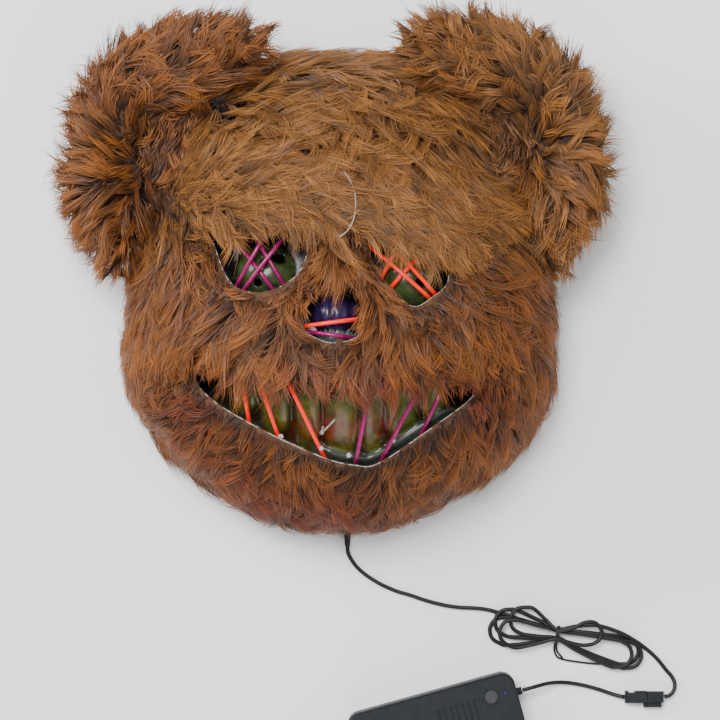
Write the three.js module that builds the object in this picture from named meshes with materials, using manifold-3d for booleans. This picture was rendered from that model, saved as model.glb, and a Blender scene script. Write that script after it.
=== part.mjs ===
// A light-up furry bear mask lying face up on its rim, with its lead and battery box beside it.
// Millimetres, +Z up, forehead towards +Y, chin towards -Y.
import * as THREE from 'three';
import { mergeVertices } from 'three/addons/utils/BufferGeometryUtils.js';
import Module from 'manifold-3d';

const wasm = await Module();
wasm.setup();

// Face shell: a thin moulded dome, open behind
const FACE_WIDTH = 212;
const FOREHEAD_RISE = 152;
const CHIN_DROP = 90;
const WIDEST_Y = -30;
const FACE_DEPTH = 90;
const FOREHEAD_ROUNDNESS = 2.5;
const CHIN_ROUNDNESS = 1.85;
const CROWN_FLATNESS = 3.2;
const MUZZLE_RISE = 14;
const MUZZLE_WIDTH = 120;
const MUZZLE_HEIGHT = 100;
const MUZZLE_Y = -42;
const SHELL_WALL = 2.2;

// Openings cut in the fur, with a moulded socket of the shell behind each
const EYE_OPENING_WIDTH = 49;
const EYE_OPENING_HEIGHT = 41;
const RIGHT_EYE_OPENING_WIDTH = 42;
const NOSE_OPENING_WIDTH = 32;
const NOSE_OPENING_HEIGHT = 30;
const MOUTH_OPENING_WIDTH = 146;
const MOUTH_OPENING_HEIGHT = 51;
const SOCKET_DEPTH = 9;
const SOCKET_LIP = 5;

// Relief moulded in the sockets
const EYE_BALL_RADIUS = 18;
const PINHOLE_DIAMETER = 5;
const WIDE_PINHOLE_DIAMETER = 6.4;
const BREATHING_HOLE_DIAMETER = 5;
const NOSE_RADIUS = 13;
const NOSE_DEPTH = 12;
const NOSE_PROUD = 2;
const TOOTH_DEPTH = 4.5;
const LIP_THICKNESS = 6.4;

// Fur
const FIT_GAP = 0.4;
const HEM_GAP = 1;
const BACKING = 1.5;
const PILE_DEPTH = 11;
const OPENING_PILE_SHARE = 0.5;
const LOCK_LENGTH = 24;
const LOCK_WIDTH = 13;
const LOCK_THICKNESS = 3;
const LOCK_LIFT = 5;
const BROW_PILE = 8;

// Ears: padded rolls on the upper corners
const LEFT_EAR = new THREE.Vector2(-96, 78.5);
const RIGHT_EAR = new THREE.Vector2(90, 80);
const EAR_HALF_WIDTH = 58;
const EAR_HALF_HEIGHT = 75;
const EAR_ROLL_WIDTH = 58;
const EAR_ROLL_DEPTH = 42;
const EAR_INNER_Z = 62;
const EAR_OUTER_Z = 40;
const EAR_BACK_THICKNESS = 12;

// Light wires
const WIRE_DIAMETER = 2.3;
const WIRE_LAYER_PITCH = 3;

// Head strap
const STRAP_WIDTH = 20;
const STRAP_THICKNESS = 1.4;
const STRAP_END_Z = 18;

// Lead: diameter, where it leaves the chin, and its sleeve
const CORD_DIAMETER = 2.3;
const FLOOR_GAP = 0.2;
const LEAD_X = 3.8;
const SLEEVE_DIAMETER = 4.4;
const SLEEVE_LENGTH = 22;
const SLEEVE_END_Y = -137;
const SEAT_GAP = 0.3;

// Hank of the lead and its wire tie
const HANK_LENGTH = 88;
const HANK_WIDTH = 24;
const HANK_WAIST = 9;
const HANK_HEIGHT = 7;
const HANK_CENTRE = new THREE.Vector2(125.8, -187.4);
const HANK_TURN = -11.2;
const TIE_ALONG = -5.5;
const TIE_WIDTH = 2.2;
const TIE_THICKNESS = 1.2;
const TIE_TAIL_DIAMETER = 1.2;

// Two-pin connector
const CONNECTOR_RIGHT = new THREE.Vector2(179.3, -220.9);
const PLUG_LENGTH = 9;
const SOCKET_LENGTH = 12;
const CONNECTOR_WIDTH = 6;
const CONNECTOR_HEIGHT = 5.6;
const LATCH_LENGTH = 10;
const LATCH_REACH = 2.2;

// Battery box
const BOX_LENGTH = 95;
const BOX_WIDTH = 36;
const BOX_BASE_HEIGHT = 17;
const BOX_TOP_HEIGHT = 5.7;
const BOX_CORNER = 7;
const BOX_EDGE = 1.2;
const BOX_CENTRE = new THREE.Vector2(53, -235.3);
const BOX_TURN = 15.5;
const GLAND_DIAMETER = 4.4;
const GLAND_LENGTH = 3;
const GLAND_Z = 9;
const GLAND_OFFSET = 5;
const BUTTON_DIAMETER = 7.6;
const BUTTON_HEIGHT = 3;
const BUTTON_PROUD = 1.1;
const BUTTON_TRAVEL = 0.8;
const BUTTON_FROM_END = 14.5;
const BUTTON_FROM_BACK = 11;
const LAMP_DIAMETER = 2.6;
const LAMP_SPACING = 8;
const VENT_COUNT = 7;
const VENT_LENGTH = 16;
const VENT_WIDTH = 1.2;
const VENT_DEPTH = 0.8;
const VENT_PITCH = 3.4;
const VENT_FROM_END = 24;

// Meshing
const DOME_SIDES = 36;
const DOME_POLARS = [90, 79, 66, 52, 38, 24, 11];
const INNER_DOME_SIDES = 28;
const INNER_DOME_POLARS = [90, 70, 48, 26];
const CUTTER_FLOOR = -5;
const CUTTER_TOP = 200;
const WELD = 0.05;

const degrees = THREE.MathUtils.degToRad;

// Closed meshes, joined and cut

function toSolid(geometry) {
  const bare = geometry.clone();
  bare.deleteAttribute('normal');
  bare.deleteAttribute('uv');
  const merged = mergeVertices(bare, WELD);
  return new wasm.Manifold(new wasm.Mesh({
    numProp: 3,
    vertProperties: new Float32Array(merged.attributes.position.array),
    triVerts: new Uint32Array(merged.index.array),
  }));
}

function toGeometry(solid) {
  const mesh = solid.getMesh();
  const geometry = new THREE.BufferGeometry();
  geometry.setAttribute('position', new THREE.BufferAttribute(new Float32Array(mesh.vertProperties), 3));
  geometry.setIndex(new THREE.BufferAttribute(new Uint32Array(mesh.triVerts), 1));
  geometry.computeVertexNormals();
  return geometry;
}

function joined(solids) {
  return solids.reduce((sum, solid) => sum.add(solid));
}

// The solid inside the outermost skin, so that a pocket closed in between crossing locks is filled
function filled(solid) {
  const bodies = toSolid(toGeometry(solid)).decompose();
  return bodies.sort((a, b) => b.volume() - a.volume())[0];
}

function facesToSolid(points, faces) {
  const geometry = new THREE.BufferGeometry();
  geometry.setAttribute('position', new THREE.Float32BufferAttribute(points.flatMap(p => [p.x, p.y, p.z]), 3));
  geometry.setIndex(faces.flat());
  return toSolid(geometry);
}

// A closed skin over a row of rings with equally many points, all counter-clockwise seen from the last ring.
// A tip closes it in one point past the last ring.
function loft(rings, tip = null) {
  const sides = rings[0].length;
  const points = rings.flat();
  const faces = [];
  for (let ring = 0; ring + 1 < rings.length; ring++) {
    for (let side = 0; side < sides; side++) {
      const next = (side + 1) % sides;
      const low = ring * sides;
      const high = low + sides;
      faces.push([low + side, low + next, high + next], [low + side, high + next, high + side]);
    }
  }
  const cap = (start, flip, peak) => {
    const middle = points.length;
    const ring = points.slice(start, start + sides);
    points.push(peak ?? ring.reduce((sum, p) => sum.add(p), new THREE.Vector3()).divideScalar(sides));
    for (let side = 0; side < sides; side++) {
      const a = start + side;
      const b = start + (side + 1) % sides;
      faces.push(flip ? [b, a, middle] : [a, b, middle]);
    }
  };
  cap(0, true, null);
  cap((rings.length - 1) * sides, false, tip);
  return facesToSolid(points, faces);
}

function prism(outline, bottom, top) {
  const geometry = new THREE.ExtrudeGeometry(new THREE.Shape(outline), {
    depth: top - bottom,
    bevelEnabled: false,
  });
  geometry.translate(0, 0, bottom);
  return toSolid(geometry);
}

function tube(points, diameter, sides, steps) {
  const section = new THREE.Shape(Array.from({ length: sides }, (_, side) => {
    const angle = 2 * Math.PI * side / sides;
    return new THREE.Vector2(Math.cos(angle), Math.sin(angle)).multiplyScalar(diameter / 2);
  }));
  const extrudePath = new THREE.CatmullRomCurve3(points, false, 'centripetal');
  return toSolid(new THREE.ExtrudeGeometry(section, { extrudePath, steps, bevelEnabled: false }));
}

function box(width, length, height, centre) {
  return toSolid(new THREE.BoxGeometry(width, length, height).translate(centre.x, centre.y, centre.z));
}

// An ellipsoid whose pole points along the given direction
function ellipsoid(centre, radii, pole, sides = 14, bands = 8) {
  const geometry = new THREE.SphereGeometry(1, sides, bands).rotateX(Math.PI / 2);
  geometry.scale(radii.x, radii.y, radii.z);
  geometry.applyQuaternion(new THREE.Quaternion().setFromUnitVectors(new THREE.Vector3(0, 0, 1), pole));
  return toSolid(geometry.translate(centre.x, centre.y, centre.z));
}

function rod(from, to, diameter, sides = 8) {
  return tube([from, to], diameter, sides, 1);
}

// The face surface

// 0 at the middle of the face and 1 at its rim
function rimShare(x, y) {
  const rise = y - WIDEST_Y;
  const reach = rise > 0 ? FOREHEAD_RISE : CHIN_DROP;
  const roundness = rise > 0 ? FOREHEAD_ROUNDNESS : CHIN_ROUNDNESS;
  const across = (Math.abs(x) / (FACE_WIDTH / 2)) ** roundness;
  return (across + (Math.abs(rise) / reach) ** roundness) ** (1 / roundness);
}

function crownHeight(x, y) {
  const across = x / (MUZZLE_WIDTH / 2);
  const along = (y - MUZZLE_Y) / (MUZZLE_HEIGHT / 2);
  return FACE_DEPTH + MUZZLE_RISE * Math.exp(-across * across - along * along);
}

function faceHeight(x, y) {
  const fall = Math.max(0, 1 - rimShare(x, y) ** CROWN_FLATNESS);
  return Math.sqrt(fall) * crownHeight(x, y);
}

// angle runs round the face from +X, polar from the middle of the face to 90 degrees at the rim
function facePoint(angle, polar) {
  const toRim = 1 / rimShare(Math.cos(angle), WIDEST_Y + Math.sin(angle));
  const radius = toRim * Math.abs(Math.sin(polar)) ** (2 / CROWN_FLATNESS);
  const x = radius * Math.cos(angle);
  const y = WIDEST_Y + radius * Math.sin(angle);
  return new THREE.Vector3(x, y, Math.cos(polar) * crownHeight(x, y));
}

function faceNormal(angle, polar) {
  const step = 0.01;
  const round = facePoint(angle + step, polar).sub(facePoint(angle - step, polar));
  const outward = facePoint(angle, polar + step).sub(facePoint(angle, polar - step));
  return outward.cross(round).normalize();
}

function liftedPoint(angle, polar, lift) {
  return facePoint(angle, polar).addScaledVector(faceNormal(angle, polar), lift);
}

// The unit normal of the face over a place on its front
function normalAt(x, y) {
  const step = 0.5;
  const slopeX = (faceHeight(x + step, y) - faceHeight(x - step, y)) / (2 * step);
  const slopeY = (faceHeight(x, y + step) - faceHeight(x, y - step)) / (2 * step);
  return new THREE.Vector3(-slopeX, -slopeY, 1).normalize();
}

function faceSpot(x, y, lift) {
  return new THREE.Vector3(x, y, faceHeight(x, y)).addScaledVector(normalAt(x, y), lift);
}

// The point straight over a place on the face that stands the given distance off its surface
function overFace(x, y, distance) {
  return new THREE.Vector3(x, y, faceHeight(x, y) + distance / normalAt(x, y).z);
}

// A solid dome under the face surface raised by lift, which may be a function of place
function dome(lift, floor, sides = DOME_SIDES, polars = DOME_POLARS) {
  const liftAt = typeof lift === 'function' ? lift : () => lift;
  const ring = polar => Array.from({ length: sides }, (_, side) => {
    const angle = 2 * Math.PI * side / sides;
    const bare = facePoint(angle, polar);
    return liftedPoint(angle, polar, liftAt(bare.x, bare.y));
  });
  const rings = polars.map(polar => ring(degrees(polar)));
  const base = rings[0].map(p => new THREE.Vector3(p.x, p.y, Math.min(floor, 0)));
  if (floor > 0) rings[0].forEach(p => p.setZ(floor));
  else rings.unshift(base);
  return loft(rings, faceSpot(0, WIDEST_Y, liftAt(0, WIDEST_Y)));
}

// Openings: centre, size and shape, the shape as shares of the size

const OPENINGS = {
  eyeLeft: {
    x: -42.5, y: 19.5, width: EYE_OPENING_WIDTH, height: EYE_OPENING_HEIGHT,
    shape: [
      { x: -0.49, y: 0.43 }, { x: -0.45, y: 0.01 }, { x: -0.29, y: -0.38 }, { x: -0.01, y: -0.5 },
      { x: 0.27, y: -0.4 }, { x: 0.47, y: -0.16 }, { x: 0.49, y: 0.26 }, { x: 0.05, y: 0.5 },
    ],
  },
  eyeRight: {
    x: 36.6, y: 11.7, width: RIGHT_EYE_OPENING_WIDTH, height: EYE_OPENING_HEIGHT,
    shape: [
      { x: -0.5, y: 0.37 }, { x: -0.35, y: -0.14 }, { x: -0.09, y: -0.41 }, { x: 0.08, y: -0.49 },
      { x: 0.27, y: -0.38 }, { x: 0.47, y: -0.19 }, { x: 0.49, y: 0.06 }, { x: 0.42, y: 0.37 },
      { x: -0.04, y: 0.5 },
    ],
  },
  nose: {
    x: -3.3, y: -13, width: NOSE_OPENING_WIDTH, height: NOSE_OPENING_HEIGHT,
    shape: [
      { x: -0.5, y: -0.2 }, { x: -0.31, y: -0.4 }, { x: 0.01, y: -0.5 }, { x: 0.42, y: -0.37 },
      { x: 0.5, y: 0.03 }, { x: 0.36, y: 0.43 }, { x: -0.18, y: 0.5 }, { x: -0.37, y: 0.27 },
    ],
  },
  mouth: {
    x: -3, y: -65.5, width: MOUTH_OPENING_WIDTH, height: MOUTH_OPENING_HEIGHT,
    shape: [
      { x: -0.5, y: 0.38 }, { x: -0.43, y: 0.15 }, { x: -0.25, y: -0.15 }, { x: -0.04, y: -0.42 },
      { x: 0.075, y: -0.5 }, { x: 0.16, y: -0.48 }, { x: 0.335, y: -0.15 }, { x: 0.486, y: 0.17 },
      { x: 0.5, y: 0.32 }, { x: 0.29, y: 0.42 }, { x: 0.02, y: 0.4 }, { x: -0.25, y: 0.48 },
      { x: -0.46, y: 0.5 },
    ],
  },
};

function openingSpot(opening, shareX, shareY) {
  return new THREE.Vector2(opening.x + shareX * opening.width, opening.y + shareY * opening.height);
}

function smoothOutline(points, count) {
  const curve = new THREE.CatmullRomCurve3(
    points.map(p => new THREE.Vector3(p.x, p.y, 0)), true, 'centripetal');
  return curve.getPoints(count).slice(0, count).map(p => new THREE.Vector2(p.x, p.y));
}

// Moves every point of a counter-clockwise outline out by the same distance
function grown(outline, distance) {
  return outline.map((point, i) => {
    const before = outline[(i + outline.length - 1) % outline.length];
    const after = outline[(i + 1) % outline.length];
    const along = after.clone().sub(before).normalize();
    return new THREE.Vector2(point.x + along.y * distance, point.y - along.x * distance);
  });
}

const OUTLINE_POINTS = 14;
const MOUTH_OUTLINE_POINTS = 22;
for (const [name, opening] of Object.entries(OPENINGS)) {
  const corners = opening.shape.map(row => openingSpot(opening, row.x, row.y));
  opening.outline = smoothOutline(corners, name === 'mouth' ? MOUTH_OUTLINE_POINTS : OUTLINE_POINTS);
}

// 1 at the middle of an opening's box, 1 on its edge and growing outside
function openingDistance(opening, x, y) {
  const across = (x - opening.x) / (opening.width / 2);
  const along = (y - opening.y) / (opening.height / 2);
  return Math.max(1, Math.hypot(across, along));
}

function outlineDistance(outline, x, y) {
  const point = new THREE.Vector2(x, y);
  const edges = outline.map((from, i) => {
    const to = outline[(i + 1) % outline.length];
    const edge = to.clone().sub(from);
    const share = THREE.MathUtils.clamp(point.clone().sub(from).dot(edge) / edge.lengthSq(), 0, 1);
    return from.clone().addScaledVector(edge, share).distanceTo(point);
  });
  return Math.min(...edges);
}

// Eye domes and their pinholes: places as shares of the opening and of the dome's radius
const EYES = [
  {
    opening: 'eyeLeft', ballX: -0.005, ballY: -0.17,
    holes: [
      { x: -0.33, y: -0.24, wide: false }, { x: 0.18, y: -0.45, wide: false },
      { x: 0.36, y: 0.5, wide: true }, { x: -0.09, y: 0.42, wide: false },
    ],
  },
  {
    opening: 'eyeRight', ballX: 0.1, ballY: -0.03,
    holes: [
      { x: 0.39, y: -0.12, wide: true }, { x: 0.27, y: 0.51, wide: false },
    ],
  },
];

function ballSpot(eye) {
  return openingSpot(OPENINGS[eye.opening], eye.ballX, eye.ballY);
}

// Wires: each row runs from one edge of its opening to the other, on a layer counted from the shell

const WIRES = [
  { name: 'eye_stitch_left_1', opening: 'eyeLeft', fromX: -0.41, fromY: 0.42, toX: 0.18, toY: -0.5, layer: 0 },
  { name: 'eye_stitch_left_2', opening: 'eyeLeft', fromX: -0.04, fromY: 0.21, toX: 0.27, toY: -0.4, layer: 0 },
  { name: 'eye_stitch_left_3', opening: 'eyeLeft', fromX: 0.05, fromY: 0.26, toX: -0.26, toY: -0.4, layer: 1 },
  { name: 'eye_stitch_left_4', opening: 'eyeLeft', fromX: 0.27, fromY: 0.25, toX: -0.18, toY: -0.45, layer: 1 },
  { name: 'eye_stitch_right_1', opening: 'eyeRight', fromX: -0.5, fromY: 0.32, toX: 0.276, toY: -0.373, layer: 1 },
  { name: 'eye_stitch_right_2', opening: 'eyeRight', fromX: -0.18, fromY: 0.27, toX: 0.343, toY: -0.315, layer: 1 },
  { name: 'eye_stitch_right_3', opening: 'eyeRight', fromX: 0.22, fromY: 0.28, toX: -0.26, toY: -0.27, layer: 0 },
  { name: 'eye_stitch_right_4', opening: 'eyeRight', fromX: -0.16, fromY: 0.24, toX: -0.36, toY: -0.13, layer: 0 },
  { name: 'nose_stitch_red', opening: 'nose', fromX: -0.47, fromY: -0.19, toX: 0.52, toY: -0.05, layer: 0 },
  { name: 'nose_stitch_magenta', opening: 'nose', fromX: -0.42, fromY: -0.29, toX: 0.39, toY: -0.41, layer: 0 },
  { name: 'mouth_stitch_red_1', opening: 'mouth', fromX: -0.33, fromY: 0.3, toX: -0.32, toY: 0.09, layer: 0 },
  { name: 'mouth_stitch_red_2', opening: 'mouth', fromX: -0.25, fromY: 0.17, toX: -0.21, toY: -0.18, layer: 0 },
  { name: 'mouth_stitch_red_3', opening: 'mouth', fromX: -0.15, fromY: 0.24, toX: -0.045, toY: -0.39, layer: 0 },
  { name: 'mouth_stitch_magenta_1', opening: 'mouth', fromX: 0.125, fromY: 0.17, toX: 0.085, toY: -0.41, layer: 0 },
  { name: 'mouth_stitch_magenta_2', opening: 'mouth', fromX: 0.29, fromY: 0.17, toX: 0.205, toY: -0.3, layer: 0 },
  { name: 'mouth_stitch_magenta_3', opening: 'mouth', fromX: 0.37, fromY: 0.12, toX: 0.342, toY: -0.06, layer: 0 },
];

// Height of a wire over the face surface, where it enters the socket's wall and once it has run up
const WIRE_HEIGHTS = {
  eyeLeft: { seat: -SOCKET_DEPTH + WIRE_DIAMETER / 2 + FIT_GAP, crest: 1.8, runUp: 16 },
  eyeRight: { seat: -SOCKET_DEPTH + WIRE_DIAMETER / 2 + FIT_GAP, crest: 1.8, runUp: 16 },
  nose: { seat: -SOCKET_DEPTH + WIRE_DIAMETER / 2 + 2, crest: NOSE_PROUD + 1.8, runUp: 7 },
  mouth: { seat: -SOCKET_DEPTH + TOOTH_DEPTH + WIRE_DIAMETER / 2 + FIT_GAP, crest: 0.6, runUp: 10 },
};

// The lowest a wire's middle may run over the eye dome of its opening
function heightOverBall(name, spot) {
  const eye = EYES.find(row => row.opening === name);
  if (!eye) return -Infinity;
  const centre = ballCentre(eye);
  const clearRadius = EYE_BALL_RADIUS + WIRE_DIAMETER / 2 + 2 * FIT_GAP;
  const reach = clearRadius ** 2 - (spot.x - centre.x) ** 2 - (spot.y - centre.y) ** 2;
  return reach > 0 ? centre.z + Math.sqrt(reach) : -Infinity;
}

function socketWall(opening) {
  return grown(opening.outline, SOCKET_LIP - SHELL_WALL);
}

// The line through two points, cut off where it meets an outline
function trimmedLine(outline, from, to) {
  const along = to.clone().sub(from);
  const hits = outline.map((start, i) => {
    const edge = outline[(i + 1) % outline.length].clone().sub(start);
    const cross = along.x * edge.y - along.y * edge.x;
    const offset = start.clone().sub(from);
    const onLine = (offset.x * edge.y - offset.y * edge.x) / cross;
    const onEdge = (offset.x * along.y - offset.y * along.x) / cross;
    return onEdge >= 0 && onEdge <= 1 ? onLine : null;
  }).filter(hit => hit !== null);
  const first = Math.max(...hits.filter(hit => hit < 0.5));
  const last = Math.min(...hits.filter(hit => hit > 0.5));
  return [from.clone().addScaledVector(along, first), from.clone().addScaledVector(along, last)];
}

function wirePath(row) {
  const opening = OPENINGS[row.opening];
  const wall = grown(opening.outline, SOCKET_LIP - SHELL_WALL - SEAT_GAP - WIRE_DIAMETER / 3);
  const from = openingSpot(opening, row.fromX, row.fromY);
  const to = openingSpot(opening, row.toX, row.toY);
  const [start, end] = trimmedLine(wall, from, to);
  const { seat, crest, runUp } = WIRE_HEIGHTS[row.opening];
  const stations = 6;
  return Array.from({ length: stations + 1 }, (_, i) => {
    const spot = start.clone().lerp(end, i / stations);
    const inward = Math.min(1, outlineDistance(wall, spot.x, spot.y) / runUp);
    const rise = seat + (crest - seat) * THREE.MathUtils.smoothstep(inward, 0, 1);
    const point = overFace(spot.x, spot.y, rise);
    point.z = Math.max(point.z, heightOverBall(row.opening, spot)) + row.layer * WIRE_LAYER_PITCH;
    return point;
  });
}

// Shell

// The dome with a moulded socket behind each opening: a wall round it and a floor that follows the face
function socketedDome(underFloor) {
  const openings = Object.values(OPENINGS);
  const columns = joined(openings.map(opening =>
    prism(grown(opening.outline, SOCKET_LIP), CUTTER_FLOOR, CUTTER_TOP)));
  const cores = joined(openings.map(opening => prism(socketWall(opening), CUTTER_FLOOR, CUTTER_TOP)));
  const inner = dome(-SHELL_WALL, CUTTER_FLOOR, INNER_DOME_SIDES, INNER_DOME_POLARS);
  const floorTop = dome(-SOCKET_DEPTH, CUTTER_FLOOR);
  const cavity = inner.subtract(columns.subtract(underFloor));
  return dome(0, 0).subtract(cavity).subtract(cores.subtract(floorTop));
}

function ballCentre(eye) {
  const spot = ballSpot(eye);
  return faceSpot(spot.x, spot.y, -EYE_BALL_RADIUS);
}

function withEye(shell, eye, underFloor) {
  const spot = ballSpot(eye);
  const pole = normalAt(spot.x, spot.y);
  const centre = ballCentre(eye);
  const ball = (radius, sides) => ellipsoid(centre, new THREE.Vector3(radius, radius, radius), pole, sides);
  const domed = shell.add(ball(EYE_BALL_RADIUS, 14).subtract(underFloor));
  const holes = eye.holes.map(hole => {
    const reach = new THREE.Vector3(hole.x, hole.y, 0).multiplyScalar(EYE_BALL_RADIUS);
    const from = centre.clone().add(reach);
    const diameter = hole.wide ? WIDE_PINHOLE_DIAMETER : PINHOLE_DIAMETER;
    return rod(from, from.clone().addScaledVector(pole, EYE_BALL_RADIUS * 1.5), diameter, 6);
  });
  return domed.subtract(ball(EYE_BALL_RADIUS - SHELL_WALL, 10)).subtract(joined(holes));
}

function withNose(shell, underFloor) {
  const opening = OPENINGS.nose;
  const spot = openingSpot(opening, 0.02, 0.1);
  const pole = normalAt(spot.x, spot.y);
  const centre = faceSpot(spot.x, spot.y, NOSE_PROUD - NOSE_DEPTH);
  const lump = (wall, sides, bands) => ellipsoid(centre,
    new THREE.Vector3(NOSE_RADIUS - wall, NOSE_RADIUS * 0.85 - wall, NOSE_DEPTH - wall), pole, sides, bands);
  const under = openingSpot(opening, 0.04, -0.4);
  const nostrilBar = ellipsoid(faceSpot(under.x, under.y, -SOCKET_DEPTH + 1),
    new THREE.Vector3(NOSE_RADIUS * 0.85, NOSE_RADIUS * 0.34, NOSE_DEPTH * 0.45), pole, 8, 5);
  return shell.add(lump(0, 12, 6).subtract(underFloor)).add(nostrilBar).subtract(lump(SHELL_WALL, 8, 5));
}

// Teeth: upright ridges on the mouth's floor, as shares of the mouth's width and height
const TEETH = [
  { x: -0.33, y: 0.18, width: 0.1, height: 0.36 },
  { x: -0.215, y: 0.08, width: 0.115, height: 0.6 },
  { x: -0.096, y: 0, width: 0.105, height: 0.8 },
  { x: 0.026, y: -0.02, width: 0.135, height: 0.9 },
  { x: 0.139, y: -0.02, width: 0.09, height: 0.85 },
  { x: 0.248, y: 0.06, width: 0.13, height: 0.68 },
  { x: 0.366, y: 0.16, width: 0.1, height: 0.42 },
];

function withTeeth(shell) {
  const mouth = OPENINGS.mouth;
  const ridges = TEETH.map(tooth => {
    const spot = openingSpot(mouth, tooth.x, tooth.y);
    const radii = new THREE.Vector3(
      tooth.width * mouth.width / 2, tooth.height * mouth.height / 2, TOOTH_DEPTH);
    return ellipsoid(faceSpot(spot.x, spot.y, -SOCKET_DEPTH), radii, normalAt(spot.x, spot.y), 6, 4);
  });
  const lipOutline = grown(mouth.outline, 0.8);
  const lipPoints = lipOutline.filter(p => p.y < mouth.y && p.x > mouth.x - 0.1 * mouth.width);
  const lip = tube(lipPoints.map(p => overFace(p.x, p.y, -LIP_THICKNESS / 2)), LIP_THICKNESS, 6, 6);
  const breath = openingSpot(mouth, -0.014, 0.24);
  const hole = rod(faceSpot(breath.x, breath.y, -3 * SOCKET_DEPTH), faceSpot(breath.x, breath.y, 1),
    BREATHING_HOLE_DIAMETER);
  return shell.add(joined(ridges)).add(lip).subtract(hole);
}

function leadNotch() {
  const height = SLEEVE_DIAMETER + 2 * SEAT_GAP + FLOOR_GAP;
  const width = SLEEVE_DIAMETER + 2 * SEAT_GAP;
  const length = 2 * SLEEVE_LENGTH;
  return box(width, length, 2 * height, new THREE.Vector3(LEAD_X, SLEEVE_END_Y + length / 2 - 1, 0));
}

function pinPath() {
  const from = openingSpot(OPENINGS.mouth, -0.046, -0.21);
  const to = openingSpot(OPENINGS.mouth, 0.002, -0.06);
  return [overFace(from.x, from.y, -SOCKET_DEPTH + 1), overFace(from.x, from.y, -2),
    overFace(to.x, to.y, -0.5)];
}
const PIN_DIAMETER = 1.2;

function faceShell() {
  const underFloor = dome(-SOCKET_DEPTH - SHELL_WALL, CUTTER_FLOOR, INNER_DOME_SIDES, INNER_DOME_POLARS);
  let shell = socketedDome(underFloor);
  for (const eye of EYES) shell = withEye(shell, eye, underFloor);
  shell = withTeeth(withNose(shell, underFloor));
  const clearOfFur = Object.values(OPENINGS).map(opening =>
    prism(grown(opening.outline, -FIT_GAP), 0, CUTTER_TOP));
  shell = shell.intersect(joined([dome(0, 0), ...clearOfFur]));
  const wireHoles = WIRES.filter(wire => wire.opening === 'mouth').map(row => {
    const [inner, end] = wirePath(row).slice(-2);
    return rod(inner, end.clone().lerp(inner, -0.1), WIRE_DIAMETER + 2 * SEAT_GAP, 6);
  });
  shell = shell.subtract(joined(wireHoles));
  return shell.subtract(tube(pinPath(), PIN_DIAMETER + 2 * SEAT_GAP, 6, 4)).subtract(leadNotch());
}

// Fur

function pileAt(x, y) {
  const near = Object.values(OPENINGS).map(opening => Math.exp(2 * (1 - openingDistance(opening, x, y))));
  return BACKING + PILE_DEPTH * (1 - OPENING_PILE_SHARE * Math.max(...near));
}

// One lock: a tapering wedge that leaves the pile and ends in a point
function lock(root, direction, up, size = 1) {
  const side = direction.clone().cross(up).normalize();
  const along = (share, lift) => root.clone().addScaledVector(direction, share * LOCK_LENGTH * size)
    .addScaledVector(up, lift * LOCK_LIFT * size);
  const stations = [
    { along: 0, half: 0.5, over: 0.4, under: -1.4, lift: 0 },
    { along: 0.55, half: 0.42, over: 1, under: -0.6, lift: 0.45 },
  ];
  const rings = stations.map(row => {
    const middle = along(row.along, row.lift);
    const half = row.half * LOCK_WIDTH * size;
    return [
      middle.clone().addScaledVector(side, -half),
      middle.clone().addScaledVector(up, row.under * LOCK_THICKNESS * size),
      middle.clone().addScaledVector(side, half),
      middle.clone().addScaledVector(up, row.over * LOCK_THICKNESS * size),
    ];
  });
  return loft(rings, along(1, 1));
}

// The way the pile lies: down and outwards over the face, up along the top edge
function combing(x, y) {
  const outwards = 0.8 * x / (FACE_WIDTH / 2);
  const upwards = y > WIDEST_Y + 0.88 * FOREHEAD_RISE ? 1 : -1;
  return new THREE.Vector3(outwards, upwards, 0);
}

function alongSurface(direction, normal) {
  return direction.clone().addScaledVector(normal, -direction.dot(normal)).normalize();
}

const COVER_LOCK_ROWS = [
  { polar: 85, locks: 34, size: 1.05, shift: 0 },
  { polar: 68, locks: 24, size: 1, shift: 0.5 },
  { polar: 52, locks: 18, size: 0.95, shift: 0 },
  { polar: 37, locks: 14, size: 0.85, shift: 0.5 },
];

function underEar(x, y) {
  return ['left', 'right'].some(side => {
    const centre = earCentre(side);
    return Math.hypot((x - centre.x) / EAR_HALF_WIDTH, (y - centre.y) / EAR_HALF_HEIGHT) < 1.05;
  });
}

function underBrow(x, y) {
  return y > 18 && y < 92 && Math.abs(x) < 100;
}

function coverLocks() {
  const locks = [];
  for (const row of COVER_LOCK_ROWS) {
    for (let i = 0; i < row.locks; i++) {
      const angle = 2 * Math.PI * (i + row.shift) / row.locks;
      const polar = degrees(row.polar);
      const bare = facePoint(angle, polar);
      const up = faceNormal(angle, polar);
      const root = bare.clone().addScaledVector(up, pileAt(bare.x, bare.y) - 1);
      const direction = alongSurface(combing(bare.x, bare.y), up);
      const tip = root.clone().addScaledVector(direction, LOCK_LENGTH * row.size);
      const overOpening = Object.values(OPENINGS).some(opening =>
        openingDistance(opening, bare.x, bare.y) < 1.12 || openingDistance(opening, tip.x, tip.y) < 1.12);
      const covered = [bare, tip].some(p => underEar(p.x, p.y) || underBrow(p.x, p.y));
      const low = tip.z < HEM_GAP + LOCK_THICKNESS * 2 || root.z < HEM_GAP + LOCK_THICKNESS * 2;
      if (!overOpening && !covered && !low) locks.push(lock(root, direction, up, row.size));
    }
  }
  return locks;
}

function furBody(extra) {
  return dome((x, y) => pileAt(x, y) + extra, HEM_GAP);
}

function furCover() {
  const inner = dome(FIT_GAP, CUTTER_FLOOR);
  const furred = filled(joined([furBody(0), ...coverLocks()])).subtract(inner);
  const cut = Object.values(OPENINGS).map(opening => prism(opening.outline, HEM_GAP, CUTTER_TOP));
  return filled(furred.subtract(joined(cut)).subtract(leadNotch()));
}

// Brow patches

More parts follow.
